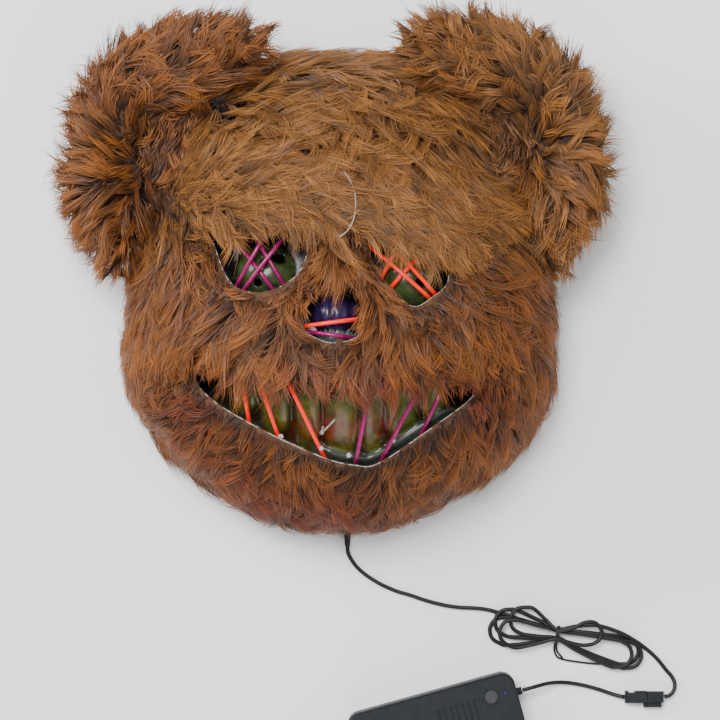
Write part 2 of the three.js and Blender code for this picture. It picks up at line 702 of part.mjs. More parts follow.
const BROWS = {
  left: {
    x: -40, y: 52, width: 94, height: 52,
    shape: [
      { x: -0.5, y: 0.22 }, { x: -0.44, y: -0.28 }, { x: -0.03, y: -0.46 }, { x: 0.4, y: -0.46 },
      { x: 0.5, y: -0.08 }, { x: 0.38, y: 0.3 }, { x: -0.03, y: 0.5 }, { x: -0.38, y: 0.44 },
    ],
  },
  right: {
    x: 50, y: 42, width: 98, height: 62,
    shape: [
      { x: -0.47, y: -0.18 }, { x: -0.35, y: -0.28 }, { x: 0.06, y: -0.5 }, { x: 0.28, y: -0.42 },
      { x: 0.5, y: 0.1 }, { x: 0.26, y: 0.36 }, { x: -0.18, y: 0.5 }, { x: -0.46, y: 0.44 },
    ],
  },
};
const BROW_LOCK_GRID = { across: 5, along: 3 };

function browSpace(brow, extra) {
  const outline = smoothOutline(brow.shape.map(row => openingSpot(brow, row.x, row.y)), OUTLINE_POINTS);
  const slab = furBody(FIT_GAP + BROW_PILE + extra).subtract(furBody(FIT_GAP - extra));
  return slab.intersect(prism(grown(outline, extra), HEM_GAP, CUTTER_TOP));
}

// A patch whose locks keep clear of the other patch
function browPatch(brow, other) {
  const locks = [];
  for (let i = 0; i < BROW_LOCK_GRID.across; i++) {
    for (let j = 0; j < BROW_LOCK_GRID.along; j++) {
      const spot = openingSpot(brow, (i + 0.4) / BROW_LOCK_GRID.across - 0.5,
        0.62 * ((j + 0.5) / BROW_LOCK_GRID.along - 0.5) + 0.05 * (i % 2));
      const up = normalAt(spot.x, spot.y);
      const root = faceSpot(spot.x, spot.y, pileAt(spot.x, spot.y) + BROW_PILE - 1);
      const direction = alongSurface(new THREE.Vector3(1, -0.75 + 0.3 * j, 0), up);
      locks.push(lock(root, direction, up, 0.8));
    }
  }
  const free = joined(locks).subtract(browSpace(other, FIT_GAP));
  return filled(browSpace(brow, 0).add(free));
}

// Ears

function earCentre(side) {
  return side === 'left' ? LEFT_EAR : RIGHT_EAR;
}

// The roll of the left ear from its inner tip over the top and down the outer side:
// middle as shares of the ear's half sizes, width as a share of the whole roll width
const EAR_ROLL = [
  { x: 0.97, y: 0.77, width: 0.17 }, { x: 0.76, y: 0.73, width: 0.62 }, { x: 0.4, y: 0.66, width: 0.88 },
  { x: -0.03, y: 0.57, width: 1 }, { x: -0.41, y: 0.37, width: 0.9 }, { x: -0.53, y: 0.05, width: 0.83 },
  { x: -0.52, y: -0.21, width: 1 }, { x: -0.48, y: -0.51, width: 0.79 },
  { x: -0.45, y: -0.73, width: 0.53 }, { x: -0.47, y: -0.89, width: 0.22 },
];
const EAR_SIDES = 9;
const EAR_BACK = { x: -0.08, y: 0.08, halfWidth: 0.55, halfHeight: 0.62, sides: 16 };

function earHeight(x) {
  return EAR_OUTER_Z + (EAR_INNER_Z - EAR_OUTER_Z) * (x / EAR_HALF_WIDTH + 1) / 2;
}

// One station of the roll: its middle, the unit vector away from the ear's pocket, and its width
function earStation(index) {
  const at = i => {
    const row = EAR_ROLL[THREE.MathUtils.clamp(i, 0, EAR_ROLL.length - 1)];
    return new THREE.Vector2(row.x * EAR_HALF_WIDTH, row.y * EAR_HALF_HEIGHT);
  };
  const along = at(index + 1).sub(at(index - 1)).normalize();
  const spot = at(index);
  return {
    middle: new THREE.Vector3(spot.x, spot.y, earHeight(spot.x)),
    along: new THREE.Vector3(along.x, along.y, 0),
    outward: new THREE.Vector3(along.y, -along.x, 0),
    width: EAR_ROLL[index].width,
  };
}

// A place on the roll's skin: turn 0 is its outer edge and 90 degrees its front
function earSkin(station, turn, share = 1) {
  return station.middle.clone()
    .addScaledVector(station.outward, share * station.width * EAR_ROLL_WIDTH / 2 * Math.cos(turn))
    .add(new THREE.Vector3(0, 0, share * station.width * EAR_ROLL_DEPTH / 2 * Math.sin(turn)));
}

function leftEar() {
  const stations = EAR_ROLL.map((_, i) => earStation(i));
  const rings = stations.map(station => Array.from({ length: EAR_SIDES }, (_, side) =>
    earSkin(station, -2 * Math.PI * side / EAR_SIDES)));
  const back = [-1, 1].map(face => Array.from({ length: EAR_BACK.sides }, (_, i) => {
    const turn = 2 * Math.PI * i / EAR_BACK.sides;
    const x = EAR_HALF_WIDTH * (EAR_BACK.x + EAR_BACK.halfWidth * Math.cos(turn));
    const y = EAR_HALF_HEIGHT * (EAR_BACK.y + EAR_BACK.halfHeight * Math.sin(turn));
    return new THREE.Vector3(x, y, earHeight(x) - EAR_ROLL_DEPTH / 5 + face * EAR_BACK_THICKNESS / 2);
  }));
  const locks = stations.slice(1, -2).flatMap((station, i) => [8 + 12 * (i % 2), 62].map(angle => {
    const turn = degrees(angle);
    const up = station.outward.clone().multiplyScalar(Math.cos(turn))
      .add(new THREE.Vector3(0, 0, Math.sin(turn)));
    const direction = alongSurface(station.outward.clone().multiplyScalar(0.45).add(station.along), up);
    return lock(earSkin(station, turn, 0.85), direction, up, 1.1);
  }));
  return filled(joined([loft(rings), loft(back), ...locks]));
}

function ear(side, neighbours) {
  const centre = earCentre(side);
  const own = side === 'left' ? leftEar() : leftEar().mirror([1, 0, 0]);
  return filled(own.translate([centre.x, centre.y, 0]).subtract(neighbours));
}

// Head strap

function headStrap() {
  const half = STRAP_THICKNESS / 2;
  const stations = 8;
  const ends = FACE_WIDTH / 2;
  const rings = Array.from({ length: 2 * stations + 1 }, (_, i) => {
    const share = i / stations - 1;
    const z = FLOOR_GAP + STRAP_THICKNESS + STRAP_END_Z * share ** 4;
    const middle = new THREE.Vector3(share * ends, WIDEST_Y, z);
    const slope = 4 * STRAP_END_Z * share ** 3 / ends;
    const up = new THREE.Vector3(-slope, 0, 1).normalize();
    const side = new THREE.Vector3(0, STRAP_WIDTH / 2, 0);
    return [
      middle.clone().add(side).addScaledVector(up, -half),
      middle.clone().sub(side).addScaledVector(up, -half),
      middle.clone().sub(side).addScaledVector(up, half),
      middle.clone().add(side).addScaledVector(up, half),
    ].reverse();
  });
  const inside = dome(-SHELL_WALL - SEAT_GAP, CUTTER_FLOOR, INNER_DOME_SIDES, INNER_DOME_POLARS);
  return loft(rings).intersect(inside);
}

// Lead

const SLEEVE_Z = FLOOR_GAP + SLEEVE_DIAMETER / 2;

// Routes of the lead, chosen by hand, from the chin to the hank, on to the connector, and to the battery box
const LEAD_ROUTE = [
  [3.8, -137.3, 2.4], [4.1, -141, 1.7], [6.2, -145.3, 1.35], [9.6, -149.6, 1.35], [14, -153.4, 1.35],
  [18.9, -156.6, 1.35], [23.8, -159.3, 1.35], [31.3, -162.5, 1.35], [38.9, -164.7, 1.35],
  [46.4, -167.3, 1.35], [54, -169.4, 1.35], [60.5, -170.7, 1.35], [67, -171.5, 1.35],
  [75.6, -171.9, 1.35], [82, -172.8, 1.35], [88, -174.4, 1.35],
];
const TAIL_ROUTE = [
  [168.4, -193.4, 1.35], [173.4, -197.6, 1.35], [177, -201.4, 1.35], [180.6, -206, 1.35],
  [183.5, -210.6, 1.6], [184.6, -215, 2.2], [183.8, -218.8, 2.8], [181.8, -220.6, 3], [179.6, -220.9, 3],
];
const BATTERY_ROUTE = [
  [157.4, -220.9, 3], [154, -220.3, 2.4], [149.5, -219, 1.6], [143, -216.8, 1.35], [135.5, -214.8, 1.35],
  [128, -213.4, 1.6], [121, -212.9, 3.2], [114.5, -213.4, 6.2], [109.5, -214.5, 8.2], [105, -215.7, 8.9],
  [100.6, -216.9, 9],
];

function route(points) {
  return points.map(([x, y, z]) => new THREE.Vector3(x, y, z));
}

function leadSleeve() {
  const start = new THREE.Vector3(LEAD_X, SLEEVE_END_Y + SLEEVE_LENGTH, SLEEVE_Z);
  const ring = (share, radius) => Array.from({ length: 10 }, (_, i) => {
    const turn = -2 * Math.PI * i / 10;
    return new THREE.Vector3(
      start.x + radius * Math.cos(turn), start.y - share * SLEEVE_LENGTH, start.z + radius * Math.sin(turn));
  }).reverse();
  const wide = SLEEVE_DIAMETER / 2;
  const narrow = CORD_DIAMETER / 2 + 0.5;
  return loft([ring(0, wide), ring(0.6, wide), ring(1, narrow)]);
}

// Half widths of the hank along its length, as shares of the whole width
const HANK_SHAPE = [
  { along: -0.5, half: 0.2 }, { along: -0.47, half: 0.34 }, { along: -0.36, half: 0.42 },
  { along: -0.2, half: 0.3 }, { along: -0.0625, half: null }, { along: 0.1, half: 0.36 },
  { along: 0.27, half: 0.46 }, { along: 0.42, half: 0.48 }, { along: 0.48, half: 0.36 },
  { along: 0.5, half: 0.2 },
];

function hankPlaced(solid) {
  return solid.rotate([0, 0, HANK_TURN]).translate([HANK_CENTRE.x, HANK_CENTRE.y, 0]);
}

function tieRing(extra) {
  const bottom = FLOOR_GAP;
  const top = bottom + HANK_HEIGHT;
  const outer = box(TIE_WIDTH + 2 * extra, HANK_WAIST + 2 * extra, HANK_HEIGHT + 2 * extra,
    new THREE.Vector3(TIE_ALONG, 0, (bottom + top) / 2));
  const inner = box(2 * TIE_WIDTH, HANK_WAIST - 2 * TIE_THICKNESS - 2 * extra,
    HANK_HEIGHT - 2 * TIE_THICKNESS - 2 * extra, new THREE.Vector3(TIE_ALONG, 0, (bottom + top) / 2));
  return outer.subtract(inner);
}

function hankBody(extra) {
  const half = row => (row.half === null ? HANK_WAIST / 2 : row.half * HANK_WIDTH);
  const lower = HANK_SHAPE.map(row => new THREE.Vector2(row.along * HANK_LENGTH, -half(row)));
  const upper = HANK_SHAPE.map(row => new THREE.Vector2(row.along * HANK_LENGTH, half(row))).reverse();
  return prism(grown([...lower, ...upper], extra), FLOOR_GAP - extra, FLOOR_GAP + HANK_HEIGHT + extra);
}

function hank() {
  return hankPlaced(hankBody(0).subtract(tieRing(SEAT_GAP)));
}

// A stretch of the lead that ends at the hank
function cordToHank(points, steps) {
  return tube(route(points), CORD_DIAMETER, 8, steps).subtract(hankPlaced(hankBody(SEAT_GAP)));
}

function hankTie() {
  const tail = tube([
    new THREE.Vector3(TIE_ALONG, -HANK_WAIST / 2 + TIE_TAIL_DIAMETER / 2, FLOOR_GAP + TIE_TAIL_DIAMETER),
    new THREE.Vector3(TIE_ALONG, -HANK_WAIST / 2 - 3.5, FLOOR_GAP + TIE_TAIL_DIAMETER / 2),
    new THREE.Vector3(TIE_ALONG + 2.5, -HANK_WAIST / 2 - 8, FLOOR_GAP + TIE_TAIL_DIAMETER / 2),
    new THREE.Vector3(TIE_ALONG + 9, -HANK_WAIST / 2 - 8.6, FLOOR_GAP + TIE_TAIL_DIAMETER / 2),
  ], TIE_TAIL_DIAMETER, 6, 6);
  return hankPlaced(tieRing(0).add(tail));
}

// Connector: the plug on the lead's end clicks into the socket on the battery lead
const CONNECTOR_Z = FLOOR_GAP + CONNECTOR_HEIGHT / 2;

function connectorPlug() {
  const right = CONNECTOR_RIGHT.x - SEAT_GAP;
  const body = box(PLUG_LENGTH, CONNECTOR_WIDTH, CONNECTOR_HEIGHT,
    new THREE.Vector3(right - PLUG_LENGTH / 2, CONNECTOR_RIGHT.y, CONNECTOR_Z));
  const latch = box(LATCH_LENGTH, LATCH_REACH + 1, CONNECTOR_HEIGHT / 2,
    new THREE.Vector3(right - LATCH_LENGTH * 0.6, CONNECTOR_RIGHT.y - (CONNECTOR_WIDTH + LATCH_REACH) / 2,
      CONNECTOR_Z));
  return body.add(latch);
}

function connectorSocket() {
  const right = CONNECTOR_RIGHT.x - SEAT_GAP - PLUG_LENGTH - SEAT_GAP;
  const body = box(SOCKET_LENGTH, CONNECTOR_WIDTH * 1.1, CONNECTOR_HEIGHT,
    new THREE.Vector3(right - SOCKET_LENGTH / 2, CONNECTOR_RIGHT.y, CONNECTOR_Z));
  const waist = box(SOCKET_LENGTH * 0.3, 2, 2 * CONNECTOR_HEIGHT,
    new THREE.Vector3(right - SOCKET_LENGTH * 0.7, CONNECTOR_RIGHT.y + CONNECTOR_WIDTH * 0.55, CONNECTOR_Z));
  const clear = box(LATCH_LENGTH * 2, LATCH_REACH + 1 + 2 * SEAT_GAP, CONNECTOR_HEIGHT / 2 + 2 * SEAT_GAP,
    new THREE.Vector3(right + LATCH_LENGTH * 0.6, CONNECTOR_RIGHT.y - (CONNECTOR_WIDTH + LATCH_REACH) / 2,
      CONNECTOR_Z));
  return body.subtract(waist).subtract(clear);
}

// Battery box, built straight and turned into place

function boxPlaced(solid) {
  return solid.rotate([0, 0, BOX_TURN]).translate([BOX_CENTRE.x, BOX_CENTRE.y, 0]);
}

function roundedSlab(height, bevel, z) {
  const halfX = BOX_LENGTH / 2 - bevel;
  const halfY = BOX_WIDTH / 2 - bevel;
  const corner = BOX_CORNER - bevel;
  const shape = new THREE.Shape();
  shape.absarc(halfX - corner, halfY - corner, corner, 0, Math.PI / 2);
  shape.absarc(-halfX + corner, halfY - corner, corner, Math.PI / 2, Math.PI);
  shape.absarc(-halfX + corner, -halfY + corner, corner, Math.PI, 1.5 * Math.PI);
  shape.absarc(halfX - corner, -halfY + corner, corner, 1.5 * Math.PI, 2 * Math.PI);
  const geometry = new THREE.ExtrudeGeometry(shape, {
    depth: height - 2 * bevel,
    bevelEnabled: true,
    bevelThickness: bevel,
    bevelSize: bevel,
    bevelSegments: 1,
    curveSegments: 3,
  });
  return toSolid(geometry.translate(0, 0, z + bevel));
}

const BOX_TOP_Z = BOX_BASE_HEIGHT + SEAT_GAP + BOX_TOP_HEIGHT;
const BUTTON_SPOT = new THREE.Vector2(BOX_LENGTH / 2 - BUTTON_FROM_END, BOX_WIDTH / 2 - BUTTON_FROM_BACK);
const POCKET_DEPTH = BUTTON_HEIGHT - BUTTON_PROUD + BUTTON_TRAVEL + SEAT_GAP;

function disc(spot, diameter, bottom, top, sides = 12) {
  const geometry = new THREE.CylinderGeometry(diameter / 2, diameter / 2, top - bottom, sides);
  return toSolid(geometry.rotateX(Math.PI / 2).translate(spot.x, spot.y, (bottom + top) / 2));
}

function batteryBase() {
  const gland = rod(
    new THREE.Vector3(BOX_LENGTH / 2 - 2, GLAND_OFFSET, GLAND_Z),
    new THREE.Vector3(BOX_LENGTH / 2 + GLAND_LENGTH, GLAND_OFFSET, GLAND_Z), GLAND_DIAMETER, 10);
  return boxPlaced(roundedSlab(BOX_BASE_HEIGHT, BOX_EDGE, 0).add(gland));
}

function batteryCase() {
  const vents = Array.from({ length: VENT_COUNT }, (_, i) => box(VENT_WIDTH, VENT_LENGTH, 2 * VENT_DEPTH,
    new THREE.Vector3(BOX_LENGTH / 2 - VENT_FROM_END - i * VENT_PITCH, 0, BOX_TOP_Z)));
  const pocket = disc(BUTTON_SPOT, BUTTON_DIAMETER + 2 * SEAT_GAP, BOX_TOP_Z - POCKET_DEPTH, BOX_TOP_Z + 1);
  const lampSpot = BUTTON_SPOT.clone().setX(BUTTON_SPOT.x + LAMP_SPACING);
  const lampHole = disc(lampSpot, LAMP_DIAMETER + 2 * SEAT_GAP, BOX_TOP_Z - 1.5, BOX_TOP_Z + 1, 8);
  const slab = roundedSlab(BOX_TOP_HEIGHT, BOX_EDGE, BOX_TOP_Z - BOX_TOP_HEIGHT);
  return boxPlaced(slab.subtract(joined([pocket, lampHole, ...vents])));
}

function powerButton() {
  const top = BOX_TOP_Z + BUTTON_PROUD;
  const body = disc(BUTTON_SPOT, BUTTON_DIAMETER, top - BUTTON_HEIGHT, top - 0.5);
  return boxPlaced(body.add(disc(BUTTON_SPOT, BUTTON_DIAMETER - 1.4, top - 1, top)));
}

function statusLamp() {
  const spot = BUTTON_SPOT.clone().setX(BUTTON_SPOT.x + LAMP_SPACING);
  return boxPlaced(disc(spot, LAMP_DIAMETER, BOX_TOP_Z - 1.5 + SEAT_GAP, BOX_TOP_Z, 8));
}

// Assembly

const FINISHES = {
  shell: { color: 0x3c4a22, roughness: 0.32, metalness: 0 },
  darkFur: { color: 0x8a4c22, roughness: 0.95, metalness: 0 },
  tanFur: { color: 0x86603a, roughness: 0.95, metalness: 0 },
  magentaWire: { color: 0xa01860, roughness: 0.25, metalness: 0 },
  redWire: { color: 0xe8301c, roughness: 0.25, metalness: 0 },
  clearPlastic: { color: 0xd8d8d2, roughness: 0.2, metalness: 0 },
  elastic: { color: 0x1a1a1c, roughness: 0.9, metalness: 0 },
  blackRubber: { color: 0x141414, roughness: 0.6, metalness: 0 },
  blackPlastic: { color: 0x1c2023, roughness: 0.5, metalness: 0 },
  buttonPlastic: { color: 0x3c3e42, roughness: 0.35, metalness: 0 },
  lampPlastic: { color: 0x2a2c50, roughness: 0.2, metalness: 0 },
};

function node(name, solid, finish) {
  const mesh = new THREE.Mesh(toGeometry(solid), new THREE.MeshStandardMaterial(FINISHES[finish]));
  mesh.name = name;
  return mesh;
}

const mask = new THREE.Group();
mask.add(node('face_shell', faceShell(), 'shell'));
mask.add(node('fur_cover', furCover(), 'darkFur'));
const browLeft = browPatch(BROWS.left, BROWS.right);
const browRight = filled(browPatch(BROWS.right, BROWS.left).subtract(browSpace(BROWS.left, FIT_GAP)));
mask.add(node('brow_left', browLeft, 'tanFur'));
mask.add(node('brow_right', browRight, 'tanFur'));
const underEars = joined([furBody(FIT_GAP), browSpace(BROWS.left, FIT_GAP), browSpace(BROWS.right, FIT_GAP)]);
mask.add(node('ear_left', ear('left', underEars), 'darkFur'));
mask.add(node('ear_right', ear('right', underEars), 'tanFur'));
for (const row of WIRES) {
  const red = row.name.includes('right') || row.name.includes('red');
  mask.add(node(row.name, tube(wirePath(row), WIRE_DIAMETER, 6, 5), red ? 'redWire' : 'magentaWire'));
}
mask.add(node('tag_pin', tube(pinPath(), PIN_DIAMETER, 6, 4), 'clearPlastic'));
mask.add(node('elastic_strap', headStrap(), 'elastic'));

const lead = new THREE.Group();
lead.add(node('lead_sleeve', leadSleeve(), 'blackRubber'));
lead.add(node('cord_lead', cordToHank(LEAD_ROUTE, 18), 'blackRubber'));
lead.add(node('cord_hank', hank(), 'blackRubber'));
lead.add(node('hank_tie', hankTie(), 'blackRubber'));
lead.add(node('cord_tail', cordToHank(TAIL_ROUTE, 12), 'blackRubber'));
lead.add(node('connector_plug', connectorPlug(), 'blackPlastic'));
lead.add(node('connector_socket', connectorSocket(), 'blackPlastic'));
lead.add(node('cord_battery', tube(route(BATTERY_ROUTE), CORD_DIAMETER, 8, 12), 'blackRubber'));

const batteryBox = new THREE.Group();
batteryBox.add(node('battery_base', batteryBase(), 'blackPlastic'));
batteryBox.add(node('battery_case', batteryCase(), 'blackPlastic'));
batteryBox.add(node('power_button', powerButton(), 'buttonPlastic'));
batteryBox.add(node('status_lamp', statusLamp(), 'lampPlastic'));

// The origin is the middle of the floor under the mask and its battery box
const part = new THREE.Group();
part.add(mask, lead, batteryBox);
const standing = new THREE.Box3().setFromObject(mask).union(new THREE.Box3().setFromObject(batteryBox));
const middle = standing.getCenter(new THREE.Vector3());
part.position.set(-middle.x, -middle.y, 0);

export default part;
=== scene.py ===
import math

import bpy
import numpy as np
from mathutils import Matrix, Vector
from mathutils.kdtree import KDTree


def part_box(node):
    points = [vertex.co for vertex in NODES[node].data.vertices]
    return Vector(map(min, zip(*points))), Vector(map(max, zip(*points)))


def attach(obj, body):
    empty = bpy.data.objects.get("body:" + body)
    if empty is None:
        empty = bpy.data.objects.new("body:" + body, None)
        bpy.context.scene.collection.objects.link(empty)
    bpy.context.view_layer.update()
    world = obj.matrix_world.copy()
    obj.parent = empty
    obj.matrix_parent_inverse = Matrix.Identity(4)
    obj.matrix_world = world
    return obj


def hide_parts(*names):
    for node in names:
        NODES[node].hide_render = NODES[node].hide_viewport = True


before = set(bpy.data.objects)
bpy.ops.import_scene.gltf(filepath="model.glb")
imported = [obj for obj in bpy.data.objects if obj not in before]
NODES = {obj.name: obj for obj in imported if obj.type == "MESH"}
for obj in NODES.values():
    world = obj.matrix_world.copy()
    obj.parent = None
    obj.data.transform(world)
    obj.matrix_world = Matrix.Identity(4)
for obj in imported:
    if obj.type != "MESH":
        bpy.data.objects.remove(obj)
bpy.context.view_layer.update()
SEED = 11

# Local millimetres: the middle of the face is x 0 and the shell's lowest edge is y -120
SHELL_LOW, SHELL_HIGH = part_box("face_shell")
SHIFT = np.array([(SHELL_LOW[0] + SHELL_HIGH[0]) * 500, SHELL_LOW[1] * 1000 + 120, 0.0])

# Shape of the face, as in the solids
FACE_WIDTH = 212
FOREHEAD_RISE = 152
CHIN_DROP = 90
WIDEST_Y = -30
FACE_DEPTH = 90
FOREHEAD_ROUNDNESS = 2.5
CHIN_ROUNDNESS = 1.85
CROWN_FLATNESS = 3.2
MUZZLE_RISE = 14
MUZZLE_SIZE = (120, 100)
MUZZLE_Y = -42
SOCKET_DEPTH = 9
SHELL_WALL = 2.2
EYE_RADIUS = 18


def clamp(values):
    return np.clip(values, 0, 1)


def circle_angles(count):
    """Evenly spaced angles round a circle."""
    return 2 * np.pi * np.arange(count) / count


def metres(points):
    return (np.asarray(points, float) + SHIFT) / 1000


def add_object(name, data):
    made = bpy.data.objects.new(name, data)
    bpy.context.scene.collection.objects.link(made)
    return made


def point_at(made, direction):
    """Turns a camera or light to look along a direction."""
    made.rotation_mode = "QUATERNION"
    made.rotation_quaternion = direction.to_track_quat("-Z", "Y")


# Camera: nearly over the face, as the photograph looks at it

PICTURE_WIDTH = 388.8
PICTURE_CENTRE = (10.8, -35.6, 62)
CAMERA_DISTANCE = 2000
CAMERA_ELEVATION = 88.5
SENSOR_WIDTH = 36


def make_camera():
    data = bpy.data.cameras.new("camera")
    data.sensor_width = SENSOR_WIDTH
    data.lens = SENSOR_WIDTH * CAMERA_DISTANCE / PICTURE_WIDTH
    data.clip_end = 20
    camera = add_object("camera", data)
    tilt = math.radians(CAMERA_ELEVATION)
    aim = Vector(metres(PICTURE_CENTRE))
    back = Vector((0, -math.cos(tilt), math.sin(tilt)))
    camera.location = aim + back * (CAMERA_DISTANCE / 1000)
    point_at(camera, -back)
    bpy.context.scene.camera = camera


make_camera()


# Materials

class Nodes:
    """A node tree that is built by short calls."""

    def __init__(self, name):
        self.material = bpy.data.materials.new(name)
        self.material.use_nodes = True
        self.tree = self.material.node_tree
        self.shader = self.tree.nodes["Principled BSDF"]

    def add(self, kind, **values):
        node = self.tree.nodes.new(kind)
        for key, value in values.items():
            if key in node.inputs:
                node.inputs[key].default_value = value
            else:
                setattr(node, key, value)
        return node

    def link(self, output, target):
        self.tree.links.new(output, target)

    def feed(self, name, output):
        """Links an output to an input of the shader."""
        self.link(output, self.shader.inputs[name])

    def tint(self):
        return self.add("ShaderNodeAttribute", attribute_name="tint").outputs["Color"]

    def noise(self, scale, detail=3.0, rough=0.55):
        position = self.add("ShaderNodeTexCoord").outputs["Object"]
        node = self.add("ShaderNodeTexNoise", Scale=scale, Detail=detail, Roughness=rough)
        self.link(position, node.inputs["Vector"])
        return node.outputs["Fac"]

    def ramp(self, factor, stops):
        node = self.add("ShaderNodeValToRGB")
        elements = node.color_ramp.elements
        while len(elements) < len(stops):
            elements.new(0.5)
        for element, (place, colour) in zip(elements, stops):
            element.position = place
            element.color = (*colour, 1)
        self.link(factor, node.inputs["Fac"])
        return node.outputs["Color"]

    def multiply(self, first, second, share=1.0):
        node = self.add("ShaderNodeMix", data_type="RGBA", blend_type="MULTIPLY")
        node.inputs[0].default_value = share
        self.link(first, node.inputs[6])
        self.link(second, node.inputs[7])
        return node.outputs[2]

    def remap(self, factor, low, high):
        node = self.add("ShaderNodeMapRange", **{"To Min": low, "To Max": high})
        self.link(factor, node.inputs["Value"])
        return node.outputs["Result"]

    def bump(self, height, strength, distance):
        node = self.add("ShaderNodeBump", Strength=strength, Distance=distance)
        self.link(height, node.inputs["Height"])
        self.feed("Normal", node.outputs["Normal"])

    def set(self, **values):
        for key, value in values.items():
            self.shader.inputs[key.replace("_", " ")].default_value = value


def fur_material():
    nodes = Nodes("fur")
    patch = nodes.ramp(nodes.noise(95, 4), [(0.3, (0.74, 0.7, 0.68)), (0.7, (1.12, 1.12, 1.12))])
    nodes.feed("Base Color", nodes.multiply(nodes.tint(), patch))
    nodes.feed("Roughness", nodes.remap(nodes.noise(400, 2), 0.42, 0.68))
    nodes.set(Specular_IOR_Level=0.35, Sheen_Weight=0.12, Sheen_Roughness=0.4)
    return nodes.material


def painted_material():
    nodes = Nodes("painted_shell")
    blotch = nodes.ramp(nodes.noise(130, 5, 0.6), [(0.35, (0.45, 0.45, 0.4)), (0.62, (1.25, 1.25, 1.2))])
    grime = nodes.ramp(nodes.noise(420, 4, 0.7), [(0.3, (0.75, 0.75, 0.75)), (0.6, (1.05, 1.05, 1.05))])
    nodes.feed("Base Color", nodes.multiply(nodes.multiply(nodes.tint(), blotch, 0.8), grime, 0.7))
    nodes.feed("Roughness", nodes.remap(nodes.noise(220, 3), 0.16, 0.4))
    nodes.bump(nodes.noise(300, 4), 0.12, 0.0004)
    nodes.set(Specular_IOR_Level=0.4, Coat_Weight=0.15, Coat_Roughness=0.15)
    return nodes.material


def plain_material(name, low, high, rough, scale=300, bump=0.1, grain=600, depth=0.0002, **values):
    nodes = Nodes(name)
    nodes.feed("Base Color", nodes.ramp(nodes.noise(scale, 4), [(0.3, low), (0.7, high)]))
    nodes.feed("Roughness", nodes.remap(nodes.noise(scale * 1.7, 3), rough * 0.85, rough * 1.15))
    if bump:
        nodes.bump(nodes.noise(grain, 3), bump, depth)
    nodes.set(**values)
    return nodes.material


FUR = fur_material()
PAINT = painted_material()
# Near-black brown of the fur's backing, brow backings and ear pads: painted shade under the pile.
SHADED_BACKING = plain_material("fur_backing", (0.035, 0.014, 0.006), (0.12, 0.05, 0.02), 0.95, 260, 0.5,
                         900, 0.001)
CUT_EDGE = plain_material("cut_edge", (0.22, 0.2, 0.17), (0.5, 0.48, 0.44), 0.9, 700, 0.4, 1800, 0.0003)
MAGENTA = plain_material("magenta_wire", (0.2, 0.0, 0.06), (0.28, 0.004, 0.1), 0.3, 500, 0,
                         Coat_Weight=0.3, Specular_IOR_Level=0.3)
# The red wire's emission is a painted glow: the wire is not lit.
GLOWING_RED = plain_material("red_wire", (0.8, 0.008, 0.002), (0.92, 0.02, 0.004), 0.3, 500, 0, Coat_Weight=0.3,
                     Specular_IOR_Level=0.3, Emission_Color=(1, 0.02, 0.0, 1), Emission_Strength=0.25)
CLEAR = plain_material("clear_plastic", (0.7, 0.7, 0.68), (0.85, 0.85, 0.83), 0.12, 300, 0,
                       Transmission_Weight=0.75, IOR=1.45)
RUBBER = plain_material("black_cord", (0.004, 0.004, 0.0045), (0.009, 0.009, 0.01), 0.42, 500, 0.1,
                        1500, 0.0001, Specular_IOR_Level=0.3)
PLASTIC = plain_material("black_plastic", (0.008, 0.0095, 0.011), (0.013, 0.0155, 0.018), 0.5, 260, 0.35,
                         5200, 0.00012, Specular_IOR_Level=0.2)
BUTTON = plain_material("button_plastic", (0.02, 0.021, 0.025), (0.035, 0.037, 0.042), 0.32, 500, 0.1,
                        3000, 0.0001)
LAMP = plain_material("lamp_plastic", (0.012, 0.013, 0.05), (0.02, 0.022, 0.09), 0.12, 500, 0,
                      Coat_Weight=0.8)
ELASTIC = plain_material("elastic", (0.01, 0.01, 0.011), (0.035, 0.035, 0.037), 0.85, 900, 0.6,
                         1600, 0.0004)


# Meshes from arrays

def piece(name, points, faces, material, slot, tint=None, replaces=()):
    """A mesh object in local millimetres; faces may hold arrays of triangles and of quads."""
    groups = [np.asarray(group, np.int32) for group in faces if len(group)]
    mesh = bpy.data.meshes.new(name)
    mesh.vertices.add(len(points))
    mesh.vertices.foreach_set("co", metres(points).astype(np.float32).ravel())
    loops = np.concatenate([group.ravel() for group in groups])
    sizes = np.concatenate([np.full(len(group), group.shape[1], np.int32) for group in groups])
    mesh.loops.add(len(loops))
    mesh.loops.foreach_set("vertex_index", loops)
    mesh.polygons.add(len(sizes))
    mesh.polygons.foreach_set("loop_start", np.concatenate([[0], np.cumsum(sizes)[:-1]]).astype(np.int32))
    mesh.polygons.foreach_set("use_smooth", np.ones(len(sizes), bool))
    if tint is not None:
        layer = mesh.attributes.new("tint", "FLOAT_COLOR", "POINT")
        rgba = np.concatenate([tint, np.ones((len(tint), 1))], 1).astype(np.float32)
        layer.data.foreach_set("color", rgba.ravel())
    mesh.update(calc_edges=True)
    mesh.validate()
    mesh.materials.append(material)
    made = add_object(name, mesh)
    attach(made, "mask")
    if replaces:
        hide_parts(*replaces)
    return made


def merged(parts):
    """(points, faces) pairs joined into one pair of arrays."""
    points, faces, start = [], [], 0
    for part_points, part_faces in parts:
        points.append(part_points)
        faces.extend(np.asarray(group) + start for group in part_faces)
        start += len(part_points)
    return np.concatenate(points), faces


def thicken(made, thickness, offset):
    """Gives an open sheet its thickness in metres, inwards at offset -1 and outwards at 1."""
    sheet = made.modifiers.new("thickness", "SOLIDIFY")
    sheet.thickness = thickness
    sheet.offset = offset


def catmull_rom(a, b, c, d, t):
    """The curve from b to c at the shares t, with a and d as the points beyond them."""
    return 0.5 * (2 * b + (c - a) * t + (2 * a - 5 * b + 4 * c - d) * t ** 2
                  + (3 * b - a - 3 * c + d) * t ** 3)


